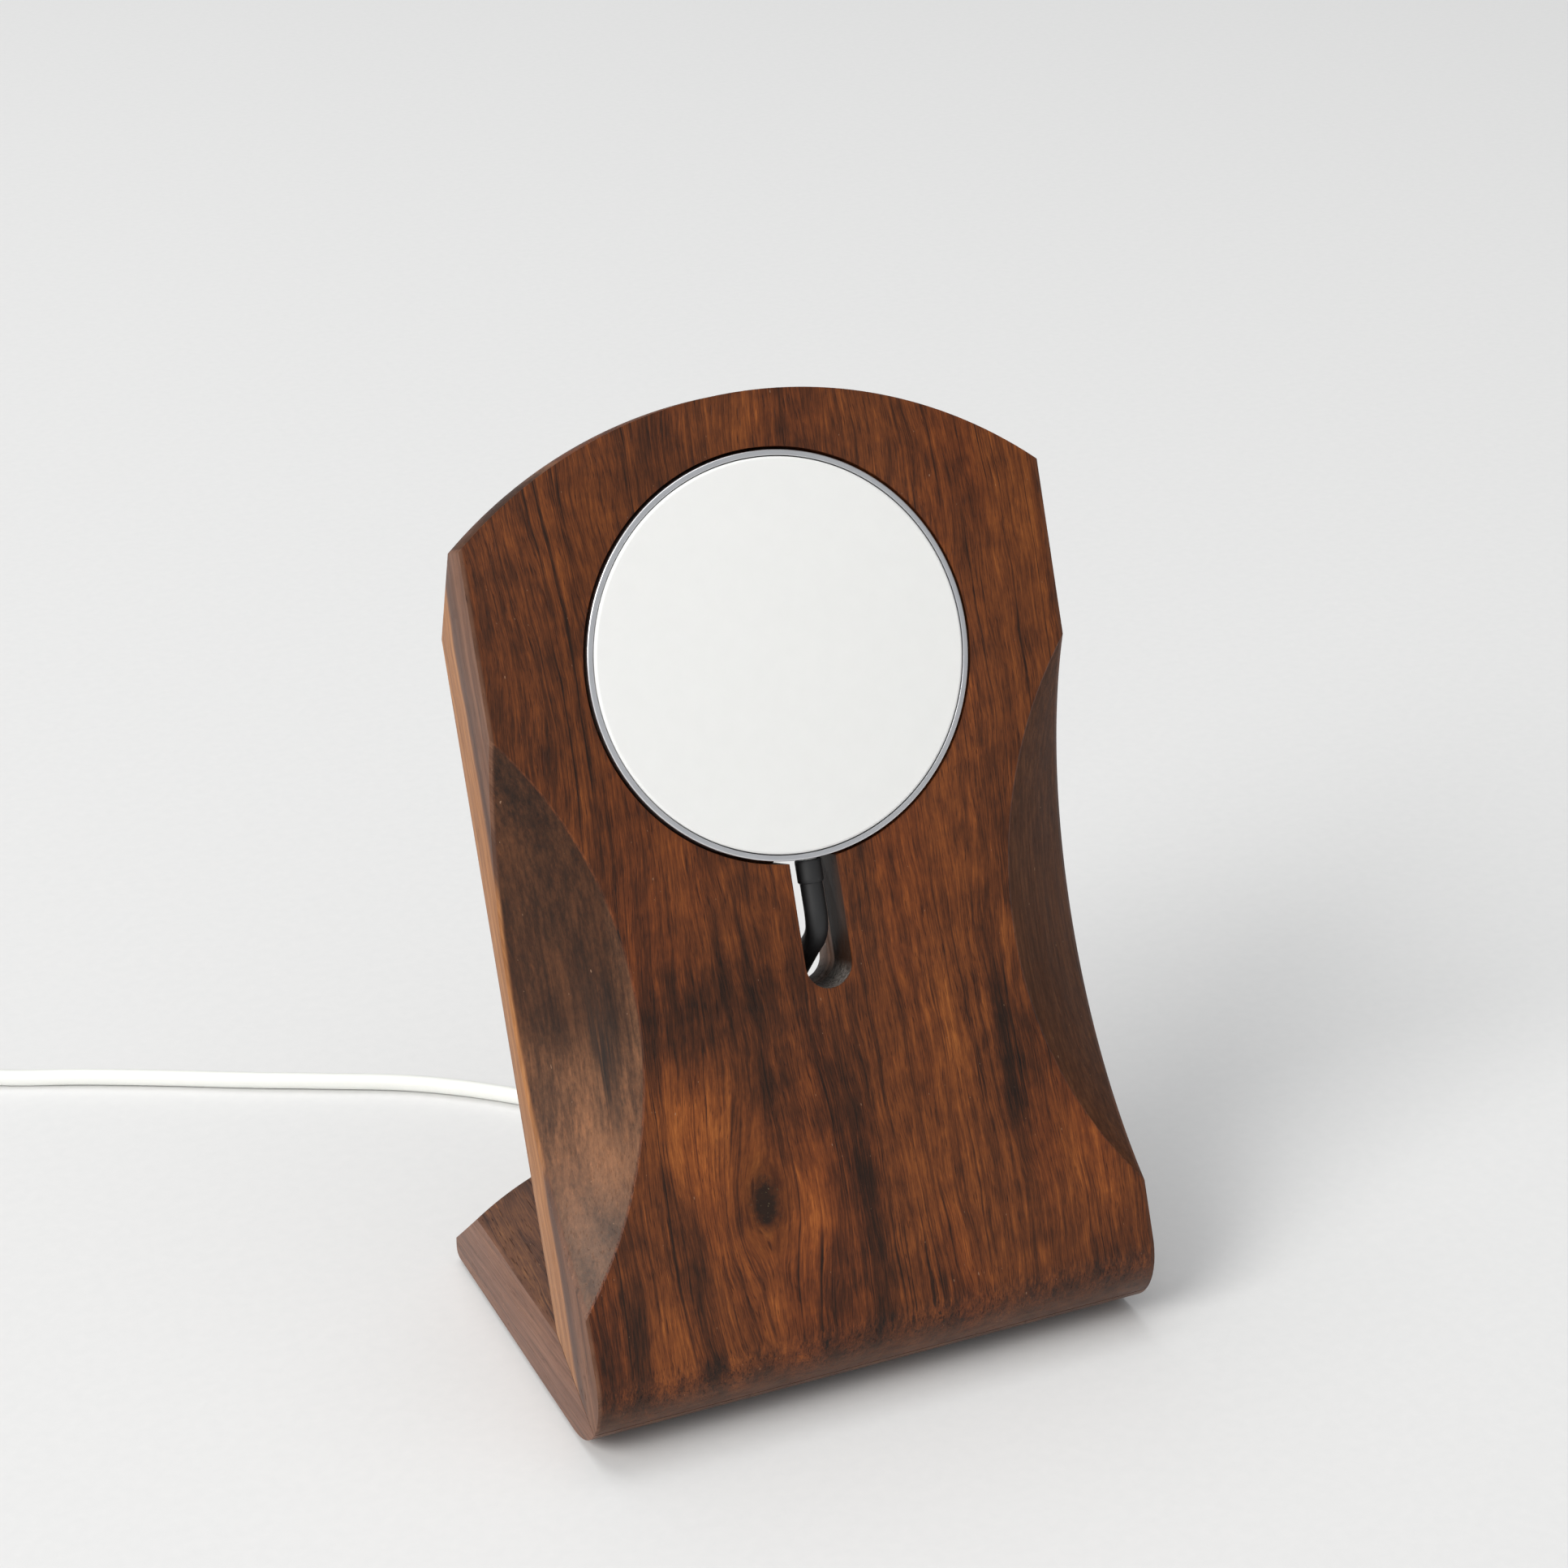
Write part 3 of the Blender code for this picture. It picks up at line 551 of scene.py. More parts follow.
def walnut(name, seed, base_tone, patches=(), knot=None, tint=None, nose=False, regions=None):
    """Oiled walnut as a solid texture whose fibres run along the object's Y axis.

    patches are rows like PANEL_TONE_AND_SHADE_PATCHES.  regions(g, point, colour, shine) recolours parts of
    the board and returns (colour, shine, strength of the pores).
    """
    g = MaterialGraph(name)
    point = g.object_mm()
    x, y, z = g.split(point)
    wander = g.noise((x, y, z), per_mm=(0.035, 0.014, 0.05), shift=seed, detail=1.0)
    fine_wander = g.noise((x, y, z), per_mm=(0.16, 0.05, 0.2), shift=seed, detail=2.0)
    across = x + wander.centred(9.0) + fine_wander.centred(2.2)
    if knot:
        across, ring = knot.part_grain(g, x, y, across)
    grain = {layer: g.noise((across, y, z), per_mm=per_mm, shift=seed + shift,
                            detail=detail, rough=rough)
             for layer, (per_mm, shift, detail, rough) in GRAIN.items()}

    thin_lines = grain["thin lines"].fade(start=0.55, end=0.70)
    tone = thin_lines * grain["line areas"].fade(start=0.36, end=0.56) * THIN_LINE_TONE
    for layer, swing in TONE_SWING.items():
        tone = tone + grain[layer].centred(swing)
    tone = tone + base_tone
    if patches:
        tone = add_patches(g, tone, patches, x, y, z, across)
    if nose:
        # the nose cuts across the growth rings: darker, from an edge like flames
        tips = g.noise((across, 1.7, 0.0), per_mm=(0.22, 1.0, 1.0), detail=2.0).centred(11.0)
        tone = tone - (y + tips).fade(start=13.0, end=6.0) * 0.12
    colour = g.shades(tone, *WOOD_SHADES)
    reddish = grain["drift"].fade(start=0.45, end=0.75, high=0.45)
    colour = g.stain(reddish, colour, by=(1.10, 0.90, 0.84))
    if tint:
        colour = g.stained(colour, tint)
    shine, pore_strength = 0.22, 1.0
    if regions:
        colour, shine, pore_strength = regions(g, point, colour, shine)

    # pores: fine short dark dashes along the grain, denser in some bands
    dense = grain["pore areas"].fade(start=0.35, end=0.7, low=-0.02, high=0.045)
    pores = g.math("MAXIMUM", (grain["long pores"] + dense).fade(start=0.675, end=0.75),
                   (grain["short pores"] + dense).fade(start=0.665, end=0.75))
    pores = pores * pore_strength
    colour = g.stain(pores * 0.75, colour, by=(0.38, 0.33, 0.31))
    # fine lighter rays and a few pale specks
    rays = grain["rays"].fade(start=0.57, end=0.72)
    colour = g.stain(rays * 0.45, colour, by=(1.75, 1.62, 1.50))
    specks = grain["specks"].fade(start=0.865, end=0.885)
    colour = g.mix(specks * 0.45, colour, srgb(176, 138, 110))
    height = pores * -1.0 + grain["fibres"] * 0.45 + grain["streaks"] * 0.12
    if knot:
        colour, height = knot.draw(g, point, ring, colour, height)
    return g.finish(Base_Color=colour,
                    Roughness=0.46 + pores * 0.16 + grain["streaks"].centred(0.12),
                    Normal=g.bump(height, distance_mm=0.04, strength=0.8),
                    Specular_IOR_Level=shine)


def panel_sides(g, x, y, z, colour, left, right):
    """Growth layers on the left side face, ochre towards the back; a darker right side."""
    depth = z + g.noise((0.0, y, 9.0), per_mm=(1.0, 0.05, 1.0), detail=2.0).centred(3.0)
    layers = g.noise((depth, y, 3.0), per_mm=(1.1, 0.03, 1.0), detail=4.0, rough=0.65)
    fine = g.noise((depth, y, 13.0), per_mm=(5.0, 0.25, 1.0), detail=2.0)
    tone = layers + fine.centred(0.35)
    ochre = g.shades(tone, (0.25, 114, 74, 46), (0.5, 152, 102, 62), (0.75, 182, 128, 82))
    brown = g.shades(tone, (0.25, 74, 50, 38), (0.5, 106, 72, 54), (0.75, 130, 92, 70))
    side = g.mix(depth.fade(start=-9.2, end=-7.6), ochre, brown)
    dark_line = depth.fade(start=-8.4, end=-7.4) * depth.fade(start=-5.2, end=-6.6)
    side = g.mix(dark_line * 0.55, side, srgb(66, 48, 42))
    low_back = y.fade(start=16.0, end=11.0) * depth.fade(start=-11.0, end=-12.6)
    side = g.mix(low_back * 0.75, side, srgb(58, 50, 46))
    colour = g.mix(left, colour, side)
    return g.mix(right * 0.5, colour, srgb(84, 56, 42))


def left_scoop(g, x, y, z, cloud, speck, lines):
    """Slanting bands of tan and dark above, with painted shade from the phone at the top; a
    speckled foot below, greyed by a painted sheen.
    """
    slant = g.noise((x + y * 0.35, y, z), per_mm=(0.22, 0.02, 0.1), detail=3.0, rough=0.6)
    level = cloud.centred(0.65) + speck.centred(0.45) + 0.5
    level = (level + slant.centred(0.42)
             + lines.centred(0.70) * y.fade(start=34.0, end=50.0))
    scoop = g.shades(level, (0.22, 44, 31, 23), (0.42, 86, 58, 40), (0.58, 120, 81, 55),
                     (0.8, 154, 104, 70))
    # painted sheen: the foot is greyed as if it mirrored the bright room at the left
    painted_sheen_grey = g.shades(level, (0.25, 44, 37, 32), (0.5, 78, 62, 51), (0.75, 112, 86, 69))
    scoop = g.mix(y.fade(start=48.0, end=30.0) * 0.7, scoop, painted_sheen_grey)
    # painted shade from the phone held above the stand darkens the scoop's top
    painted_phone_shade = y.fade(start=52.0, end=64.0) * x.fade(start=-28.6, end=-31.5, low=0.25, high=1.0)
    scoop = g.stain(painted_phone_shade, scoop, by=(0.36, 0.31, 0.26))
    glow = g.spot(x + 34.4, y - 43.2, reach_x=2.5, reach_y=4.6)
    redder = g.shades(level, (0.3, 108, 72, 50), (0.6, 146, 100, 68))
    scoop = g.mix(glow * 0.85, scoop, redder)
    # a dark streak broken into hairs
    sway = g.noise((x, y, 5.0), per_mm=(0.2, 0.08, 1.0), detail=3.0).centred(5.0)
    streak = g.spot(x + sway + 33.0, y - 56.0, reach_x=1.9, reach_y=10.0)
    hair = g.noise((x + z * 0.6, y, z), per_mm=(2.6, 0.05, 0.8), detail=2.0, rough=0.6)
    hair = hair.fade(start=0.36, end=0.56, low=0.35, high=1.0)
    return g.mix(streak * hair, scoop, srgb(34, 27, 23))


def right_scoop(g, cloud, speck, lines):
    """One even dark brown."""
    level = cloud.centred(0.30) + lines.centred(0.75) + speck.centred(0.30) + 0.5
    return g.shades(level, (0.2, 40, 25, 16), (0.5, 78, 48, 31), (0.8, 116, 74, 47))


def slot_walls(g, from_middle, y, z, colour, speck):
    """Walls with painted shade near the front and painted light behind, as if lit through the
    slot, with grey end grain at the bottom.
    """
    half = SLOT_WIDTH / 2
    wall = (from_middle.fade(start=half + 0.35, end=half + 0.15)
            * y.fade(start=SLOT_LOW_UP - 0.6, end=SLOT_LOW_UP - 0.3))
    wall = wall * (z.fade(start=-0.2, end=-0.6)
                   * z.fade(start=-PANEL_THICK + 0.1, end=-PANEL_THICK + 0.4))
    wall = wall * y.fade(start=SLOT_HIGH_UP + 0.4, end=SLOT_HIGH_UP + 0.2)
    bottom = wall * y.fade(start=SLOT_LOW_UP + 3.2, end=SLOT_LOW_UP + 1.2)
    # painted shade on the front part of each wall, painted light on the rear part
    painted_wall_shade_and_light = g.mix(z.fade(start=-6.3, end=-6.9), srgb(40, 28, 21), srgb(214, 178, 158))
    colour = g.mix(wall * 0.90, colour, painted_wall_shade_and_light)
    grey = g.shades(speck, (0.35, 46, 44, 42), (0.65, 118, 113, 108))
    return g.mix(bottom * 0.85, colour, grey)


def panel_regions(g, point, colour, shine):
    """Other cuts through the panel's board: side faces, scoops, slot and nose."""
    x, y, z = g.split(point)
    left = x.fade(start=-HALF_WIDTH + 0.75, end=-HALF_WIDTH + 0.25)
    right = x.fade(start=HALF_WIDTH - 0.75, end=HALF_WIDTH - 0.25)
    colour = panel_sides(g, x, y, z, colour, left, right)

    behind_face = z.fade(start=-0.10, end=-0.28) * y.fade(start=16.0, end=18.0)
    cloud = g.noise((x, y, z), per_mm=(0.16, 0.06, 0.16), detail=3.0, rough=0.6)
    speck = g.noise((x, y, z), per_mm=(2.2, 0.9, 2.2), detail=3.0, rough=0.7)
    lines = g.noise((x, y, z), per_mm=(1.5, 0.07, 1.5), detail=3.0, rough=0.65)
    inside = behind_face * x.fade(start=-26.0, end=-27.5) * (1.0 - left)
    colour = g.mix(inside * 0.88, colour, left_scoop(g, x, y, z, cloud, speck, lines))
    inside = behind_face * x.fade(start=26.0, end=27.5) * (1.0 - right)
    colour = g.mix(inside * 0.9, colour, right_scoop(g, cloud, speck, lines))
    shine = shine + inside * -0.16

    from_middle = abs(x)
    colour = slot_walls(g, from_middle, y, z, colour, speck)

    # the lowest part of the nose is smoother, and greyer with a painted reflection of the pale
    # desk
    rise = y + g.noise((x, 3.0, 0.0), per_mm=(0.12, 1.0, 1.0), detail=2.0).centred(2.4)
    low = (rise.fade(start=11.4, end=6.2)
           * from_middle.fade(start=HALF_WIDTH - 0.25, end=HALF_WIDTH - 0.75))
    painted_desk_reflection = g.noise((x, y, z), per_mm=(0.35, 1.2, 1.2), detail=3.0, rough=0.6)
    painted_desk_reflection = g.shades(painted_desk_reflection, (0.3, 82, 57, 45), (0.7, 116, 84, 66))
    colour = g.mix(low * 0.62, colour, painted_desk_reflection)
    calm = g.math("MAXIMUM", low, behind_face * from_middle.fade(start=26.0, end=27.5))
    return colour, shine, 1.0 - calm * 0.65


def base_regions(g, point, colour, shine):
    """Pinkish grey-brown side faces with fine lines along the board, and a nose darkened by
    painted shade.
    """
    x, y, z = g.split(point)
    side = abs(x).fade(start=HALF_WIDTH - 0.75, end=HALF_WIDTH - 0.25)
    sag = g.math("SINE", (y + 6.0) * 0.045) * 1.2
    wave = z + sag + g.noise((0.0, y, 2.0), per_mm=(1.0, 0.07, 1.0), detail=2.0).centred(1.4)
    layers = g.noise((7.0, y, wave), per_mm=(1.0, 0.035, 1.2), detail=4.0, rough=0.72)
    fine = g.noise((3.0, y, wave), per_mm=(1.0, 0.05, 3.8), detail=3.0, rough=0.65)
    lined = g.shades(layers + fine.centred(0.62),
                     (0.25, 84, 58, 46), (0.5, 116, 82, 66), (0.75, 144, 106, 86))
    dark = g.noise((11.0, y, wave), per_mm=(1.0, 0.016, 2.4), detail=2.0, rough=0.6)
    lined = g.mix(dark.fade(start=0.56, end=0.68) * 0.50, lined, srgb(70, 49, 40))
    colour = g.mix(0.28, colour, srgb(114, 86, 74))
    # painted shade on the nose, which faces down towards the desk
    nose = y.fade(start=-25.0, end=-31.0) * (1.0 - side)
    colour = g.mix(nose * 0.85, colour, g.mix(0.7, colour, srgb(84, 59, 47)))
    return g.mix(side * 0.85, colour, lined), shine, 1.0 - side * 0.60


# ------------------------------------------------------------ other materials
def polymer(name, colour, rough, bump_mm, vary, subsurface=0.0, coat=0.0):
    """Moulded plastic or rubber: faint mottling, fine texture in gloss and relief."""
    g = MaterialGraph(name)
    point = g.object_mm()
    mottle = g.noise(point, scale=0.35, detail=3.0, rough=0.6)
    fine = g.noise(point, scale=7.0, detail=3.0, rough=0.6)
    dark = tuple(channel * (1 - vary) for channel in colour)
    light = tuple(min(1.0, channel * (1 + vary)) for channel in colour)
    inputs = dict(Base_Color=g.ramp(mottle, (0.3, dark), (0.7, light)),
                  Roughness=rough + fine.centred(0.10) + mottle.centred(0.08),
                  Normal=g.bump(fine, distance_mm=bump_mm))
    if subsurface:
        inputs.update(Subsurface_Weight=subsurface, Subsurface_Radius=(0.0012, 0.0011, 0.0010),
                      Subsurface_Scale=1.0)
    if coat:
        inputs.update(Coat_Weight=coat, Coat_Roughness=0.2)
    return g.finish(**inputs)


def metal(name, colour, rough, bump_mm=0.002):
    """Blasted or polished metal with small variations in gloss."""
    g = MaterialGraph(name)
    point = g.object_mm()
    fine = g.noise(point, scale=9.0, detail=3.0, rough=0.7)
    slow = g.noise(point, scale=0.25, detail=2.0, rough=0.5)
    darker = tuple(channel * 0.95 for channel in colour)
    return g.finish(Base_Color=g.ramp(slow, (0.3, darker), (0.7, colour)), Metallic=1.0,
                    Roughness=rough + fine.centred(0.14) + slow.centred(0.08),
                    Normal=g.bump(fine, distance_mm=bump_mm))


# ----------------------------------------------------- the mitre and the nose
def meet(point, direction, other, other_direction):
    """Where two lines of the Y-Z plane cross."""
    determinant = direction[0] * -other_direction[1] + other_direction[0] * direction[1]
    dy, dz = other[0] - point[0], other[1] - point[1]
    reach = (dy * -other_direction[1] + other_direction[0] * dz) / determinant
    return (point[0] + reach * direction[0], point[1] + reach * direction[1])


CORNER = (CORNER_Y, BASE_UNDERSIDE)
PANEL_BACK = tuple(on_panel(0, 0, -PANEL_THICK).yz)
PANEL_DIR = (SIN_LEAN, COS_LEAN)
HEEL = meet(PANEL_BACK, PANEL_DIR, (0.0, BASE_TOP), (1.0, 0.0))    # rear end of the mitre
MITRE_LENGTH = math.hypot(CORNER[0] - HEEL[0], CORNER[1] - HEEL[1])
MITRE_DIR = ((CORNER[0] - HEEL[0]) / MITRE_LENGTH, (CORNER[1] - HEEL[1]) / MITRE_LENGTH)
MITRE_NORMAL = (MITRE_DIR[1], -MITRE_DIR[0])                        # towards the panel
NOSE_CENTRE = (CORNER_Y + NOSE_RADIUS / math.tan((math.pi / 2 - LEAN) / 2),
               BASE_UNDERSIDE + NOSE_RADIUS)


def mitre_point(along, off):
    """Point at a distance along the mitre from the heel, and off it towards the panel."""
    return (HEEL[0] + MITRE_DIR[0] * along + MITRE_NORMAL[0] * off,
            HEEL[1] + MITRE_DIR[1] * along + MITRE_NORMAL[1] * off)


def nose_hit(point):
    """Where the line through a point along the mitre leaves the nose's circle."""
    dy, dz = point[0] - NOSE_CENTRE[0], point[1] - NOSE_CENTRE[1]
    along = dy * MITRE_DIR[0] + dz * MITRE_DIR[1]
    reach = -along + math.sqrt(along * along - (dy * dy + dz * dz - NOSE_RADIUS * NOSE_RADIUS))
    return (point[0] + reach * MITRE_DIR[0], point[1] + reach * MITRE_DIR[1])


def nose_angle(point):
    """Angle of a point on the lower front quarter of the nose, between pi and 1.5 pi."""
    return math.atan2(point[1] - NOSE_CENTRE[1], point[0] - NOSE_CENTRE[0]) + 2 * math.pi


def nose_arc(start, end, steps):
    angles = [start + (end - start) * k / steps for k in range(steps + 1)]
    return [(NOSE_CENTRE[0] + NOSE_RADIUS * math.cos(angle),
             NOSE_CENTRE[1] + NOSE_RADIUS * math.sin(angle)) for angle in angles]


# --------------------------------------------------------------------- boards
def prism(name, outline, half):
    """Solid between x = -half and +half with an outline of (second, third) coordinates."""
    return make(name, loft([[(x, a, b) for a, b in outline] for x in (-half, half)]))


def curved_end(radius, centre, z, reach=46.0, steps=120):
    """Loop at height z that ends in an arc towards +y; wider and longer than a board."""
    loop = [(-reach, -120.0, z), (reach, -120.0, z)]
    for k in range(steps + 1):
        x = reach - 2 * reach * k / steps
        loop.append((x, centre + math.sqrt(radius * radius - x * x), z))
    return loop


def trim_end(board, name, centre, levels):
    """Keep what lies inside the curved end; a level is (z, radius)."""
    boolean(board, make(name, loft([curved_end(radius, centre, z) for z, radius in levels])),
            "INTERSECT")


def cut_spline_room(board, in_panel):
    """Half of the room for the spline, which lies across the mitre."""
    half_along, half_off = SPLINE_THICK / 2 + FIT_GAP, SPLINE_WIDTH / 2 + FIT_GAP
    outline = [mitre_point(SPLINE_FROM_HEEL + side_along * half_along, side_off * half_off)
               for side_along, side_off in ((-1, -1), (1, -1), (1, 1), (-1, 1))]
    if in_panel:
        outline = [to_panel(*point) for point in outline]
    boolean(board, prism("room", outline, SPLINE_LENGTH / 2 + FIT_GAP))


def soften(board, heel, toe, nearest_y):
    """Round the board's edges, less beside the line heel-toe where y < nearest_y."""
    dy, dz = toe[0] - heel[0], toe[1] - heel[1]

    def by_mitre(point):
        off = abs((point.y - heel[0]) * dz - (point.z - heel[1]) * dy) / math.hypot(dy, dz)
        return off < 4.5 and point.y < nearest_y

    bm = bmesh.new()
    bm.from_mesh(board.data)
    # clean the booleans' slivers before the bevel
    bmesh.ops.remove_doubles(bm, verts=bm.verts, dist=2e-6)
    bmesh.ops.dissolve_degenerate(bm, dist=1e-6, edges=bm.edges)
    bmesh.ops.dissolve_limit(bm, angle_limit=math.radians(0.4), verts=bm.verts, edges=bm.edges,
                             delimit={"NORMAL"})
    bm.normal_update()
    weight = bm.edges.layers.float.new("bevel_weight_edge")
    for edge in bm.edges:
        if len(edge.link_faces) != 2:
            continue
        if edge.calc_face_angle(0.0) > math.radians(18.0):
            middle = (edge.verts[0].co + edge.verts[1].co) / 2 / MM
            edge[weight] = MITRE_EDGE_ROUND / EDGE_ROUND if by_mitre(middle) else 1.0
    bm.to_mesh(board.data)
    bm.free()
    bevel = board.modifiers.new("edges", "BEVEL")
    bevel.limit_method = "WEIGHT"
    bevel.width = EDGE_ROUND * MM
    bevel.segments = 3
    bevel.use_clamp_overlap = True
    bevel.miter_outer = "MITER_ARC"
    bevel.harden_normals = False
    apply_modifiers(board)
    shade(board.data, sharp=38)


def cut_scoop(panel, side, steps=120):
    """Shallow arc out of one long edge, its wall slanting outwards towards the back."""
    reach = math.sqrt(SCOOP_RADIUS ** 2 - (SCOOP_RADIUS - SCOOP_INSET) ** 2) + 1.0
    slope = 1.0 / math.tan(SCOOP_ANGLE)
    outline = []
    for k in range(steps + 1):
        up = SCOOP_UP - reach + 2 * reach * k / steps
        inset = SCOOP_INSET - SCOOP_RADIUS + math.sqrt(SCOOP_RADIUS ** 2 - (up - SCOOP_UP) ** 2)
        outline.append((side * (HALF_WIDTH - inset), up))
    outside = side * (HALF_WIDTH + 40)
    outline += [(outside, outline[-1][1]), (outside, outline[0][1])]
    loops = [[(x - side * z * slope, y, z) for x, y in outline]
             for z in (4.0, -PANEL_THICK - 2)]
    boolean(panel, make("scoop", loft(loops)))


def cut_slot(panel):
    """Upright slot, a step narrower in its rear part and chamfered at the back."""
    half_long, middle = (SLOT_HIGH_UP - SLOT_LOW_UP) / 2, (SLOT_HIGH_UP + SLOT_LOW_UP) / 2
    half_wide = SLOT_WIDTH / 2
    rear_long, rear_wide = half_long - SLOT_STEP_WIDTH, half_wide - SLOT_STEP_WIDTH
    flare = SLOT_BACK_CHAMFER + 2
    levels = [  # z, half length, half width
        (4.0, half_long, half_wide), (-SLOT_STEP_DEPTH, half_long, half_wide),
        (-SLOT_STEP_DEPTH - 0.01, rear_long, rear_wide),
        (-PANEL_THICK + SLOT_BACK_CHAMFER, rear_long, rear_wide),
        (-PANEL_THICK - 2.0, rear_long + flare, rear_wide + flare)]
    boolean(panel, make("slot", loft(
        [[(x, y, z) for x, y in stadium(long, wide, steps=32, centre_y=middle)]
         for z, long, wide in levels])))


def build_panel(material):
    start = mitre_point(0.0, MITRE_GAP / 2)
    heel = meet(start, MITRE_DIR, PANEL_BACK, PANEL_DIR)
    toe = nose_hit(start)
    arc = nose_arc(nose_angle(toe), math.pi - LEAN, steps=40)
    outline = [to_panel(*point) for point in [heel] + arc]
    outline += [(PANEL_LENGTH + 6, 0.0), (PANEL_LENGTH + 6, -PANEL_THICK)]
    panel = prism("panel_board", outline, HALF_WIDTH)

    keep, flare = PANEL_THICK - END_CHAMFER_HEIGHT, END_CHAMFER / END_CHAMFER_HEIGHT
    trim_end(panel, "head", PANEL_LENGTH - END_RADIUS,
             [(8.0, END_RADIUS), (-keep, END_RADIUS),
              (-PANEL_THICK - 3, END_RADIUS - END_CHAMFER - 3 * flare)])
    for side in (-1, 1):
        cut_scoop(panel, side)
    boolean(panel, make("recess", cylinder(RECESS_RADIUS, -RECESS_DEPTH, 5, steps=160),
                        matrix=Matrix.Translation((0, PUCK_UP * MM, 0))))
    cut_slot(panel)
    cut_spline_room(panel, in_panel=True)
    soften(panel, to_panel(*HEEL), to_panel(*toe), nearest_y=22)
    panel.data.materials.append(material)
    panel.matrix_world = panel_matrix(0)
    enter(panel, "front_panel")


def build_base(material):
    start = mitre_point(0.0, -MITRE_GAP / 2)
    heel = meet(start, MITRE_DIR, (0.0, BASE_TOP), (1.0, 0.0))
    toe = nose_hit(start)
    arc = nose_arc(1.5 * math.pi, nose_angle(toe), steps=32)
    far = END_APEX_Y + END_CHAMFER + 8
    base = prism("base_board", [heel, (far, BASE_TOP), (far, BASE_UNDERSIDE)] + arc, HALF_WIDTH)

    flare, widest = END_CHAMFER / END_CHAMFER_HEIGHT, END_RADIUS + END_CHAMFER
    levels = [(BASE_UNDERSIDE - 3, widest - END_FOOT_RADIUS)]
    levels += [(BASE_UNDERSIDE + END_FOOT_RADIUS * rise, widest - END_FOOT_RADIUS * inset)
               for rise, inset in quarter_round(8)]
    levels += [(BASE_TOP - END_CHAMFER_HEIGHT, widest), (BASE_TOP + 3, END_RADIUS - 3 * flare)]
    trim_end(base, "plan", END_APEX_Y - END_RADIUS, levels)
    cut_spline_room(base, in_panel=False)
    soften(base, HEEL, toe, nearest_y=-18)
    base.data.materials.append(material)
    enter(base, "base_plate")


PANEL_KNOT = Knot(x=-14.8, y=32.9, half_width=2.6, half_length=4.9)
PANEL_TONE_AND_SHADE_PATCHES = [
    # x, y, reach in x, reach in y, change of tone
    (-22.4, 43.0, 4.8, 6.5, 0.19),     # amber beside and above the knot
    (-25.0, 48.0, 4.0, 4.5, 0.11),
    (-21.0, 31.0, 2.4, 8.0, 0.08),
    (-18.5, 20.0, 2.6, 8.0, 0.07),
    (-8.6, 30.0, 3.2, 6.0, 0.26),
    (-29.5, 16.0, 3.6, 8.0, 0.15),
    (-18.0, 61.0, 13.0, 6.5, -0.24),   # painted shade from the phone above, left of the slot's lower end
    (-12.5, 48.0, 3.6, 6.0, -0.19),
    (-0.5, 33.0, 2.4, 18.0, -0.22),    # dark streak down the middle
    (-3.5, 49.0, 2.4, 8.0, -0.16),
    (1.5, 17.0, 2.2, 7.0, -0.08),
    (24.4, 48.0, 1.2, 10.0, -0.21),    # dark streak at the right
    (30.5, 45.0, 1.6, 14.0, -0.06),
    (27.4, 60.0, 1.6, 7.0, 0.22),
    (31.5, 30.0, 3.2, 10.0, 0.16),
    (36.5, 24.0, 2.4, 9.0, 0.10),
    (9.5, 50.0, 2.6, 12.0, 0.10),
    (15.5, 52.0, 2.8, 14.0, 0.13),
    (7.5, 30.0, 2.6, 12.0, 0.07),
    (25.0, 15.0, 3.0, 4.0, 0.12),
    (38.0, 11.0, 5.0, 6.0, -0.18),
    (-35.5, 19.0, 1.6, 9.0, -0.14),
    (-24.6, 11.8, 2.2, 3.0, -0.34),
    (-24.5, 25.0, 1.9, 9.0, -0.19),
    (10.5, 14.0, 3.0, 4.0, -0.10),
    (-39.5, 17.0, 2.8, 10.0, -0.20),
    (26.6, 30.0, 2.4, 13.0, 0.10),
    (11.0, 31.0, 2.4, 12.0, 0.08),
    (-4.0, 22.0, 2.0, 9.0, -0.10),
]


# -------------------------------------------------------------- charging disc
def build_disc_shell():
    """Metal cup, open to the front, with a hole for the cable in its lower edge."""
    aluminium = metal("anodised_aluminium", srgb(226, 227, 230), rough=0.34, bump_mm=0.004)
    rim, bore, floor = 0.35, PUCK_RADIUS - PUCK_WALL, PUCK_BACK + 0.8
    profile = fillet([(0, PUCK_BACK), (PUCK_RADIUS, PUCK_BACK, 0.85), (PUCK_RADIUS, rim, 0.22),
                      (bore, rim, 0.10), (bore, floor, 0.3), (0, floor)], steps=8)
    shell = make("disc_shell", turned(profile, steps=192), aluminium, DISC_FRAME)
    hole_frame = (DISC_FRAME @ Matrix.Translation((0, -PUCK_RADIUS * MM, CABLE_OUT * MM))
                  @ Matrix.Rotation(math.pi / 2, 4, "X"))
    boolean(shell, make("bore", cylinder(CABLE_RADIUS + FIT_GAP, -4, 4, steps=40),
                        matrix=hole_frame))
    shade(shell.data, sharp=32)
    enter(shell, "charger_shell")


def build_disc_face():
    white = polymer("soft_white_polymer", srgb(240, 240, 238), rough=0.52, bump_mm=0.004,
                    vary=0.008, subsurface=0.05)
    edge, back = PUCK_RADIUS - PUCK_WALL - 0.15, -0.5
    profile = fillet([(0, back), (edge, back, 0.1), (edge, PUCK_PROUD, 0.42), (0, PUCK_PROUD)],
                     steps=10)
    face = make("disc_face", turned(profile, steps=192), white, DISC_FRAME)
    enter(face, "charger_face")


# ------------------------------------------------------------ cable and plug
AHEAD = Vector((math.cos(PLUG_HEADING), math.sin(PLUG_HEADING), 0))
PLUG_FRAME = (Matrix.Translation(PLUG_AT * MM) @ Matrix.Rotation(PLUG_HEADING, 4, "Z")
              @ Matrix.Rotation(math.pi / 2, 4, "Y"))

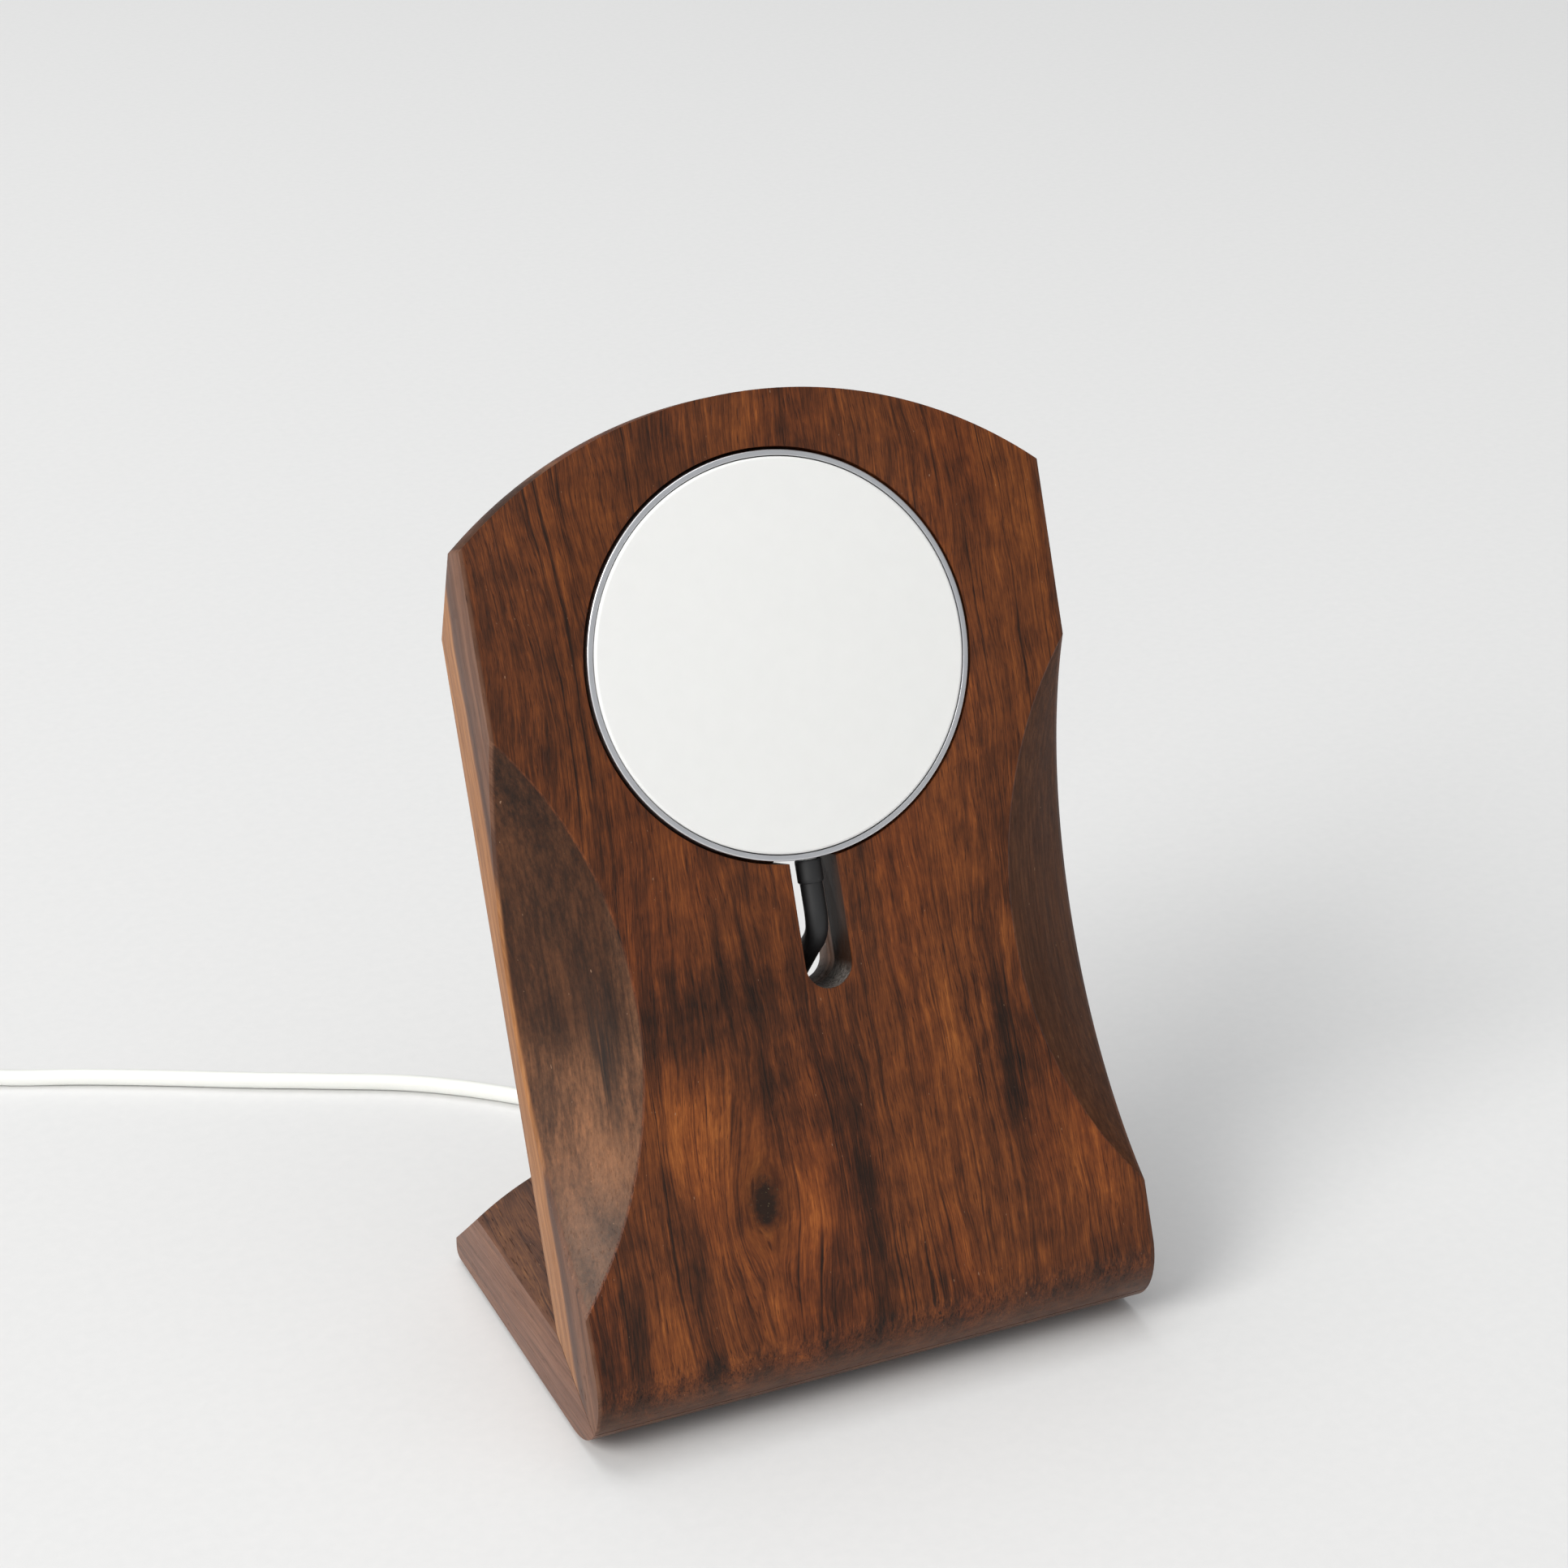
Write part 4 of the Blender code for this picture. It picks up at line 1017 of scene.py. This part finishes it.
# in the panel: distance below the disc's centre, depth behind the hole's axis
LEAD_STATIONS = [
    (22.9, 0.0), (28.2, 0.0), (32.5, 0.0), (36.2, 0.05), (38.0, 0.55), (39.35, 1.9),
    (40.65, 4.1), (44.1, 9.7), (47.5, 15.1)]
# hanging free behind the panel: x, y, z
FREE_STATIONS = [
    (-0.2, 1.6, 43.0), (-0.4, 5.8, 35.0), (-0.7, 11.0, 27.2), (-1.0, 17.6, 20.8),
    (-1.4, 25.0, 17.0), (-2.3, 32.6, 12.9), (-4.2, 40.0, 7.5), (-7.6, 47.6, 3.4),
    (-12.6, 55.2, 1.6)]
# lying on the desk: x, y
DESK_STATIONS = [
    (-18.7, 61.8), (-26.2, 68.2), (-34.0, 73.5), (-45.4, 79.3), (-57.2, 85.1),
    (-69.0, 91.2), (-80.9, 97.0), (-92.9, 102.3)]
# rising into the plug: distance behind its rear end, height against its axis
TAIL_STATIONS = [(9.0, -0.9), (6.4, -0.1), (3.4, 0.0), (0.5, 0.0)]

CABLE_ANCHORS = (
    [on_panel(0, PUCK_UP - below, CABLE_OUT - depth) for below, depth in LEAD_STATIONS]
    + [Vector(station) for station in FREE_STATIONS]
    + [Vector((x, y, CABLE_RADIUS + DESK_GAP)) for x, y in DESK_STATIONS]
    + [PLUG_AT - AHEAD * behind + Vector((0, 0, lift)) for behind, lift in TAIL_STATIONS])
SLEEVE_ANCHORS = CABLE_ANCHORS[1:len(LEAD_STATIONS) + 1]


def build_cable():
    white = polymer("white_cable_polymer", srgb(240, 241, 236), rough=0.46, bump_mm=0.008,
                    vary=0.012, subsurface=0.12)
    path = curve_through(CABLE_ANCHORS, CABLE_SPACING)
    last, small = len(path) - 1, CABLE_RADIUS - CABLE_END_ROUND
    sections = ([(0, small, 0.0), (0, CABLE_RADIUS, CABLE_END_ROUND)]
                + [(i, CABLE_RADIUS, 0.0) for i in range(1, last)]
                + [(last, CABLE_RADIUS, -CABLE_END_ROUND), (last, small, 0.0)])
    cable = make("cable_jacket", loft(tube_loops(path, sections)), white, sharp=50)
    enter(cable, "charging_cable")


def build_sleeve():
    """Rubber tube round the cable, with a thicker collar at its upper end."""
    rubber = polymer("dark_sleeve_rubber", srgb(30, 30, 31), rough=0.55, bump_mm=0.012,
                     vary=0.10)
    path = curve_through(SLEEVE_ANCHORS, SLEEVE_SPACING)
    last = len(path) - 1
    collar = round(COLLAR_LENGTH / SLEEVE_SPACING)
    wide, slim = SLEEVE_RADIUS + COLLAR_STEP, SLEEVE_RADIUS
    outer = ([(0, wide - 0.22, 0.0), (0, wide - 0.06, 0.06), (0, wide, 0.24)]
             + [(i, wide, 0.0) for i in range(1, collar)]
             + [(collar, wide, -0.1), (collar, wide - 0.08, 0.08), (collar, slim, 0.2)]
             + [(i, slim, 0.0) for i in range(collar + 1, last)]
             + [(last, slim, -0.24), (last, slim - 0.06, -0.06), (last, slim - 0.2, 0.0)])
    inner = [(i, SLEEVE_BORE_RADIUS, 0.0) for i in range(last, -1, -1)]
    bm = loft(tube_loops(path, outer + inner), closed_ends=False)
    enter(make("cable_sleeve_rubber", bm, rubber, sharp=50), "cable_sleeve")


def build_plug_tail(material):
    """Tapered collar behind the plug, widening towards it."""
    bore, rear, front = 1.55, -6.0, -0.3
    profile = fillet([(bore, rear), (1.85, rear, 0.12), (2.35, front, 0.1), (bore, front)],
                     steps=6)
    tail = make("plug_tail", turned(profile, steps=48), material, PLUG_FRAME)
    enter(tail, "plug_strain_relief")


def build_plug_body(material):
    """Flat moulding with rounded rear and front rims."""
    rear_along, rear_inset, front_round = 0.8, 0.7, 0.5
    levels = [(rear_along * along, rear_inset * inset) for along, inset in quarter_round(8)]
    levels += [(PLUG_LENGTH - front_round * along, front_round * inset)
               for inset, along in quarter_round(6)]
    loops = []
    for z, inset in levels:
        outline = rounded_box(PLUG_HEIGHT / 2 - inset, PLUG_WIDTH / 2 - inset,
                              PLUG_HEIGHT / 2 - inset - 0.15)
        loops.append([(x, y, z) for x, y in outline])
    enter(make("plug_moulding", loft(loops), material, PLUG_FRAME), "plug_body")


def plug_cup(name, outer, inner, rear, front, floor, lip, material):
    """Cup on the plug's nose, open ahead; outer and inner are (half length, half width)."""
    half = (outer[1] - inner[1]) / 2
    rings = [(*inner, floor), (*inner, front - lip)]
    for k in range(1, 7):
        angle = math.pi * k / 6
        rings.append((inner[0] + half - half * math.cos(angle),
                      inner[1] + half - half * math.cos(angle),
                      front - lip + lip * math.sin(angle)))
    rings.append((*outer, rear))
    loops = [[(x, y, z) for x, y in stadium(long, wide, steps=24)] for long, wide, z in rings]
    return make(name, loft(loops), material, PLUG_FRAME)


def build_plug_cups(steel):
    root = PLUG_LENGTH + 0.2
    shell = plug_cup("plug_metal_shell", outer=(4.17, 1.28), inner=(3.87, 0.98), rear=root,
                     front=root + 6.5, floor=root + 0.3, lip=0.15, material=steel)
    enter(shell, "plug_shell")
    black = polymer("black_moulding", srgb(24, 24, 25), rough=0.45, bump_mm=0.004, vary=0.06)
    contacts = plug_cup("plug_contacts", outer=(3.72, 0.83), inner=(3.3, 0.42), rear=root + 0.5,
                        front=root + 6.1, floor=root + 1.6, lip=0.1, material=black)
    enter(contacts, "plug_contact_block")


def build_pad():
    """Thin non-slip sheet under the base, with faintly rounded edges."""
    silicone = polymer("grip_silicone", srgb(44, 44, 45), rough=0.72, bump_mm=0.03, vary=0.12)
    levels = [  # z, inset
        (0.0, 0.12), (0.035, 0.035), (0.12, 0.0), (PAD_THICK - 0.05, 0.0), (PAD_THICK, 0.05)]
    loops = [[(x, y, z) for x, y in rounded_box(PAD_HALF_X - inset, PAD_HALF_Y - inset,
                                                PAD_CORNER_RADIUS - inset)]
             for z, inset in levels]
    enter(make("grip_sheet", loft(loops), silicone), "grip_pad")


def dress_cad_pieces(steel):
    """Materials for the inner pieces that keep their CAD shape."""
    nickel = metal("nickel_plating", srgb(200, 197, 190), rough=0.24)
    materials = {
        "magnet_shield": steel,
        "circuit_board": polymer("board_solder_mask", srgb(20, 88, 52), rough=0.38,
                                 bump_mm=0.01, vary=0.2, coat=0.3),
        "ferrite_disc": polymer("sintered_ferrite", srgb(52, 52, 56), rough=0.62,
                                bump_mm=0.02, vary=0.15),
        "charge_coil": metal("enamelled_copper", srgb(212, 132, 82), rough=0.28),
        "adhesive_pad": polymer("adhesive_foam", srgb(58, 58, 58), rough=0.85,
                                bump_mm=0.05, vary=0.15),
        "mitre_spline": walnut("birch_tongue", seed=300.0, base_tone=0.82,
                               tint=(2.2, 2.3, 2.4)),
    }
    materials.update({"magnet_%02d" % k: nickel for k in range(1, 17)})
    for name, material in materials.items():
        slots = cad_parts[name].data.materials
        slots.clear()
        slots.append(material)


# ---------------------------------------------------------------------- stage
def build_floor():
    g = MaterialGraph("studio_floor")
    grain = g.noise(g.object_mm(), scale=0.5, detail=3.0, rough=0.6)
    colour = g.ramp(grain, (0.3, (0.755, 0.757, 0.755)), (0.7, (0.775, 0.775, 0.772)))
    material = g.finish(Base_Color=colour, Roughness=0.62, Specular_IOR_Level=0.25,
                        Normal=g.bump(grain, distance_mm=0.05, strength=0.4))
    bm = bmesh.new()
    bmesh.ops.create_grid(bm, x_segments=8, y_segments=8, size=4.0)
    below_desk = Matrix.Translation((0, 0, -0.08 * MM))
    make("studio_floor", bm, material, below_desk)


def build_world():
    """A room brighter towards -X, -Y and overhead; seen directly it is one pale tone."""
    world = bpy.data.worlds.new("studio")
    bpy.context.scene.world = world
    world.use_nodes = True
    g = Graph(world.node_tree)
    x, y, z = g.split(g.coordinates("Generated"))
    overhead = g.math("MAXIMUM", z, 0.0) * 0.18
    ambient, darkest, seen_tone = 0.33, 0.06, 0.66
    light = x * -0.22 + y * -0.22 + (overhead + ambient)
    light = g.math("MAXIMUM", light, darkest)
    camera_ray = Value(g, g.node("ShaderNodeLightPath").outputs["Is Camera Ray"])
    light = light + camera_ray * (seen_tone - light)
    background = g.tree.nodes["Background"]
    g.put(background.inputs[1], light)
    g.put(background.inputs[0], (0.97, 0.985, 1.0, 1.0))


def area_light(name, place, target, side, energy, colour=(1, 1, 1)):
    data = bpy.data.lights.new(name, "AREA")
    data.shape = "RECTANGLE"
    data.size = side
    data.size_y = side
    data.energy = energy
    data.color = colour
    obj = bpy.data.objects.new(name, data)
    bpy.context.scene.collection.objects.link(obj)
    obj.location = place
    obj.rotation_mode = "QUATERNION"
    obj.rotation_quaternion = (Vector(target) - Vector(place)).to_track_quat("-Z", "Y")


def build_camera():
    place = (-0.17705, -0.39517, 0.28517)
    forward = Vector((0.37057, 0.82404, -0.42853)).normalized()
    rough_up = Vector((0.17863, 0.38954, 0.90352))
    right = forward.cross(rough_up).normalized()
    up = right.cross(forward).normalized()
    data = bpy.data.cameras.new("camera")
    data.lens = 79.56
    data.sensor_width = 36.0
    data.clip_start = 0.01
    data.clip_end = 50.0
    camera = bpy.data.objects.new("camera", data)
    bpy.context.scene.collection.objects.link(camera)
    rows = [(right[i], up[i], -forward[i], place[i]) for i in range(3)]
    camera.matrix_world = Matrix((*rows, (0, 0, 0, 1)))
    bpy.context.scene.camera = camera


# ------------------------------------------------------------------- assembly
build_panel(walnut("walnut_panel", seed=0.0, base_tone=0.45, patches=PANEL_TONE_AND_SHADE_PATCHES,
                   knot=PANEL_KNOT, nose=True, regions=panel_regions))
build_base(walnut("walnut_base", seed=130.0, base_tone=0.47, tint=(1.30, 2.05, 3.7),
                  regions=base_regions))
build_disc_shell()
build_disc_face()
build_cable()
build_sleeve()
white_plug = polymer("white_plug_polymer", srgb(241, 241, 239), rough=0.34, bump_mm=0.002,
                     vary=0.008, subsurface=0.05, coat=0.25)
bright_steel = metal("bright_steel", srgb(206, 207, 209), rough=0.2)
# no piece wears this one
metal("gold_contact", srgb(226, 184, 104), rough=0.22)
build_plug_tail(white_plug)
build_plug_body(white_plug)
build_plug_cups(bright_steel)
build_pad()
dress_cad_pieces(bright_steel)

build_floor()
build_world()
area_light("key", place=(-3.15, -1.13, 2.60), target=(0, 0, 0.05), side=2.0, energy=123.0,
           colour=(1.0, 0.985, 0.96))
area_light("top_fill", place=(-0.2, 0.7, 2.6), target=(0, 0.3, 0), side=1.8, energy=25.0)
build_camera()
view = bpy.context.scene.view_settings
view.view_transform = "Standard"
view.look = "None"
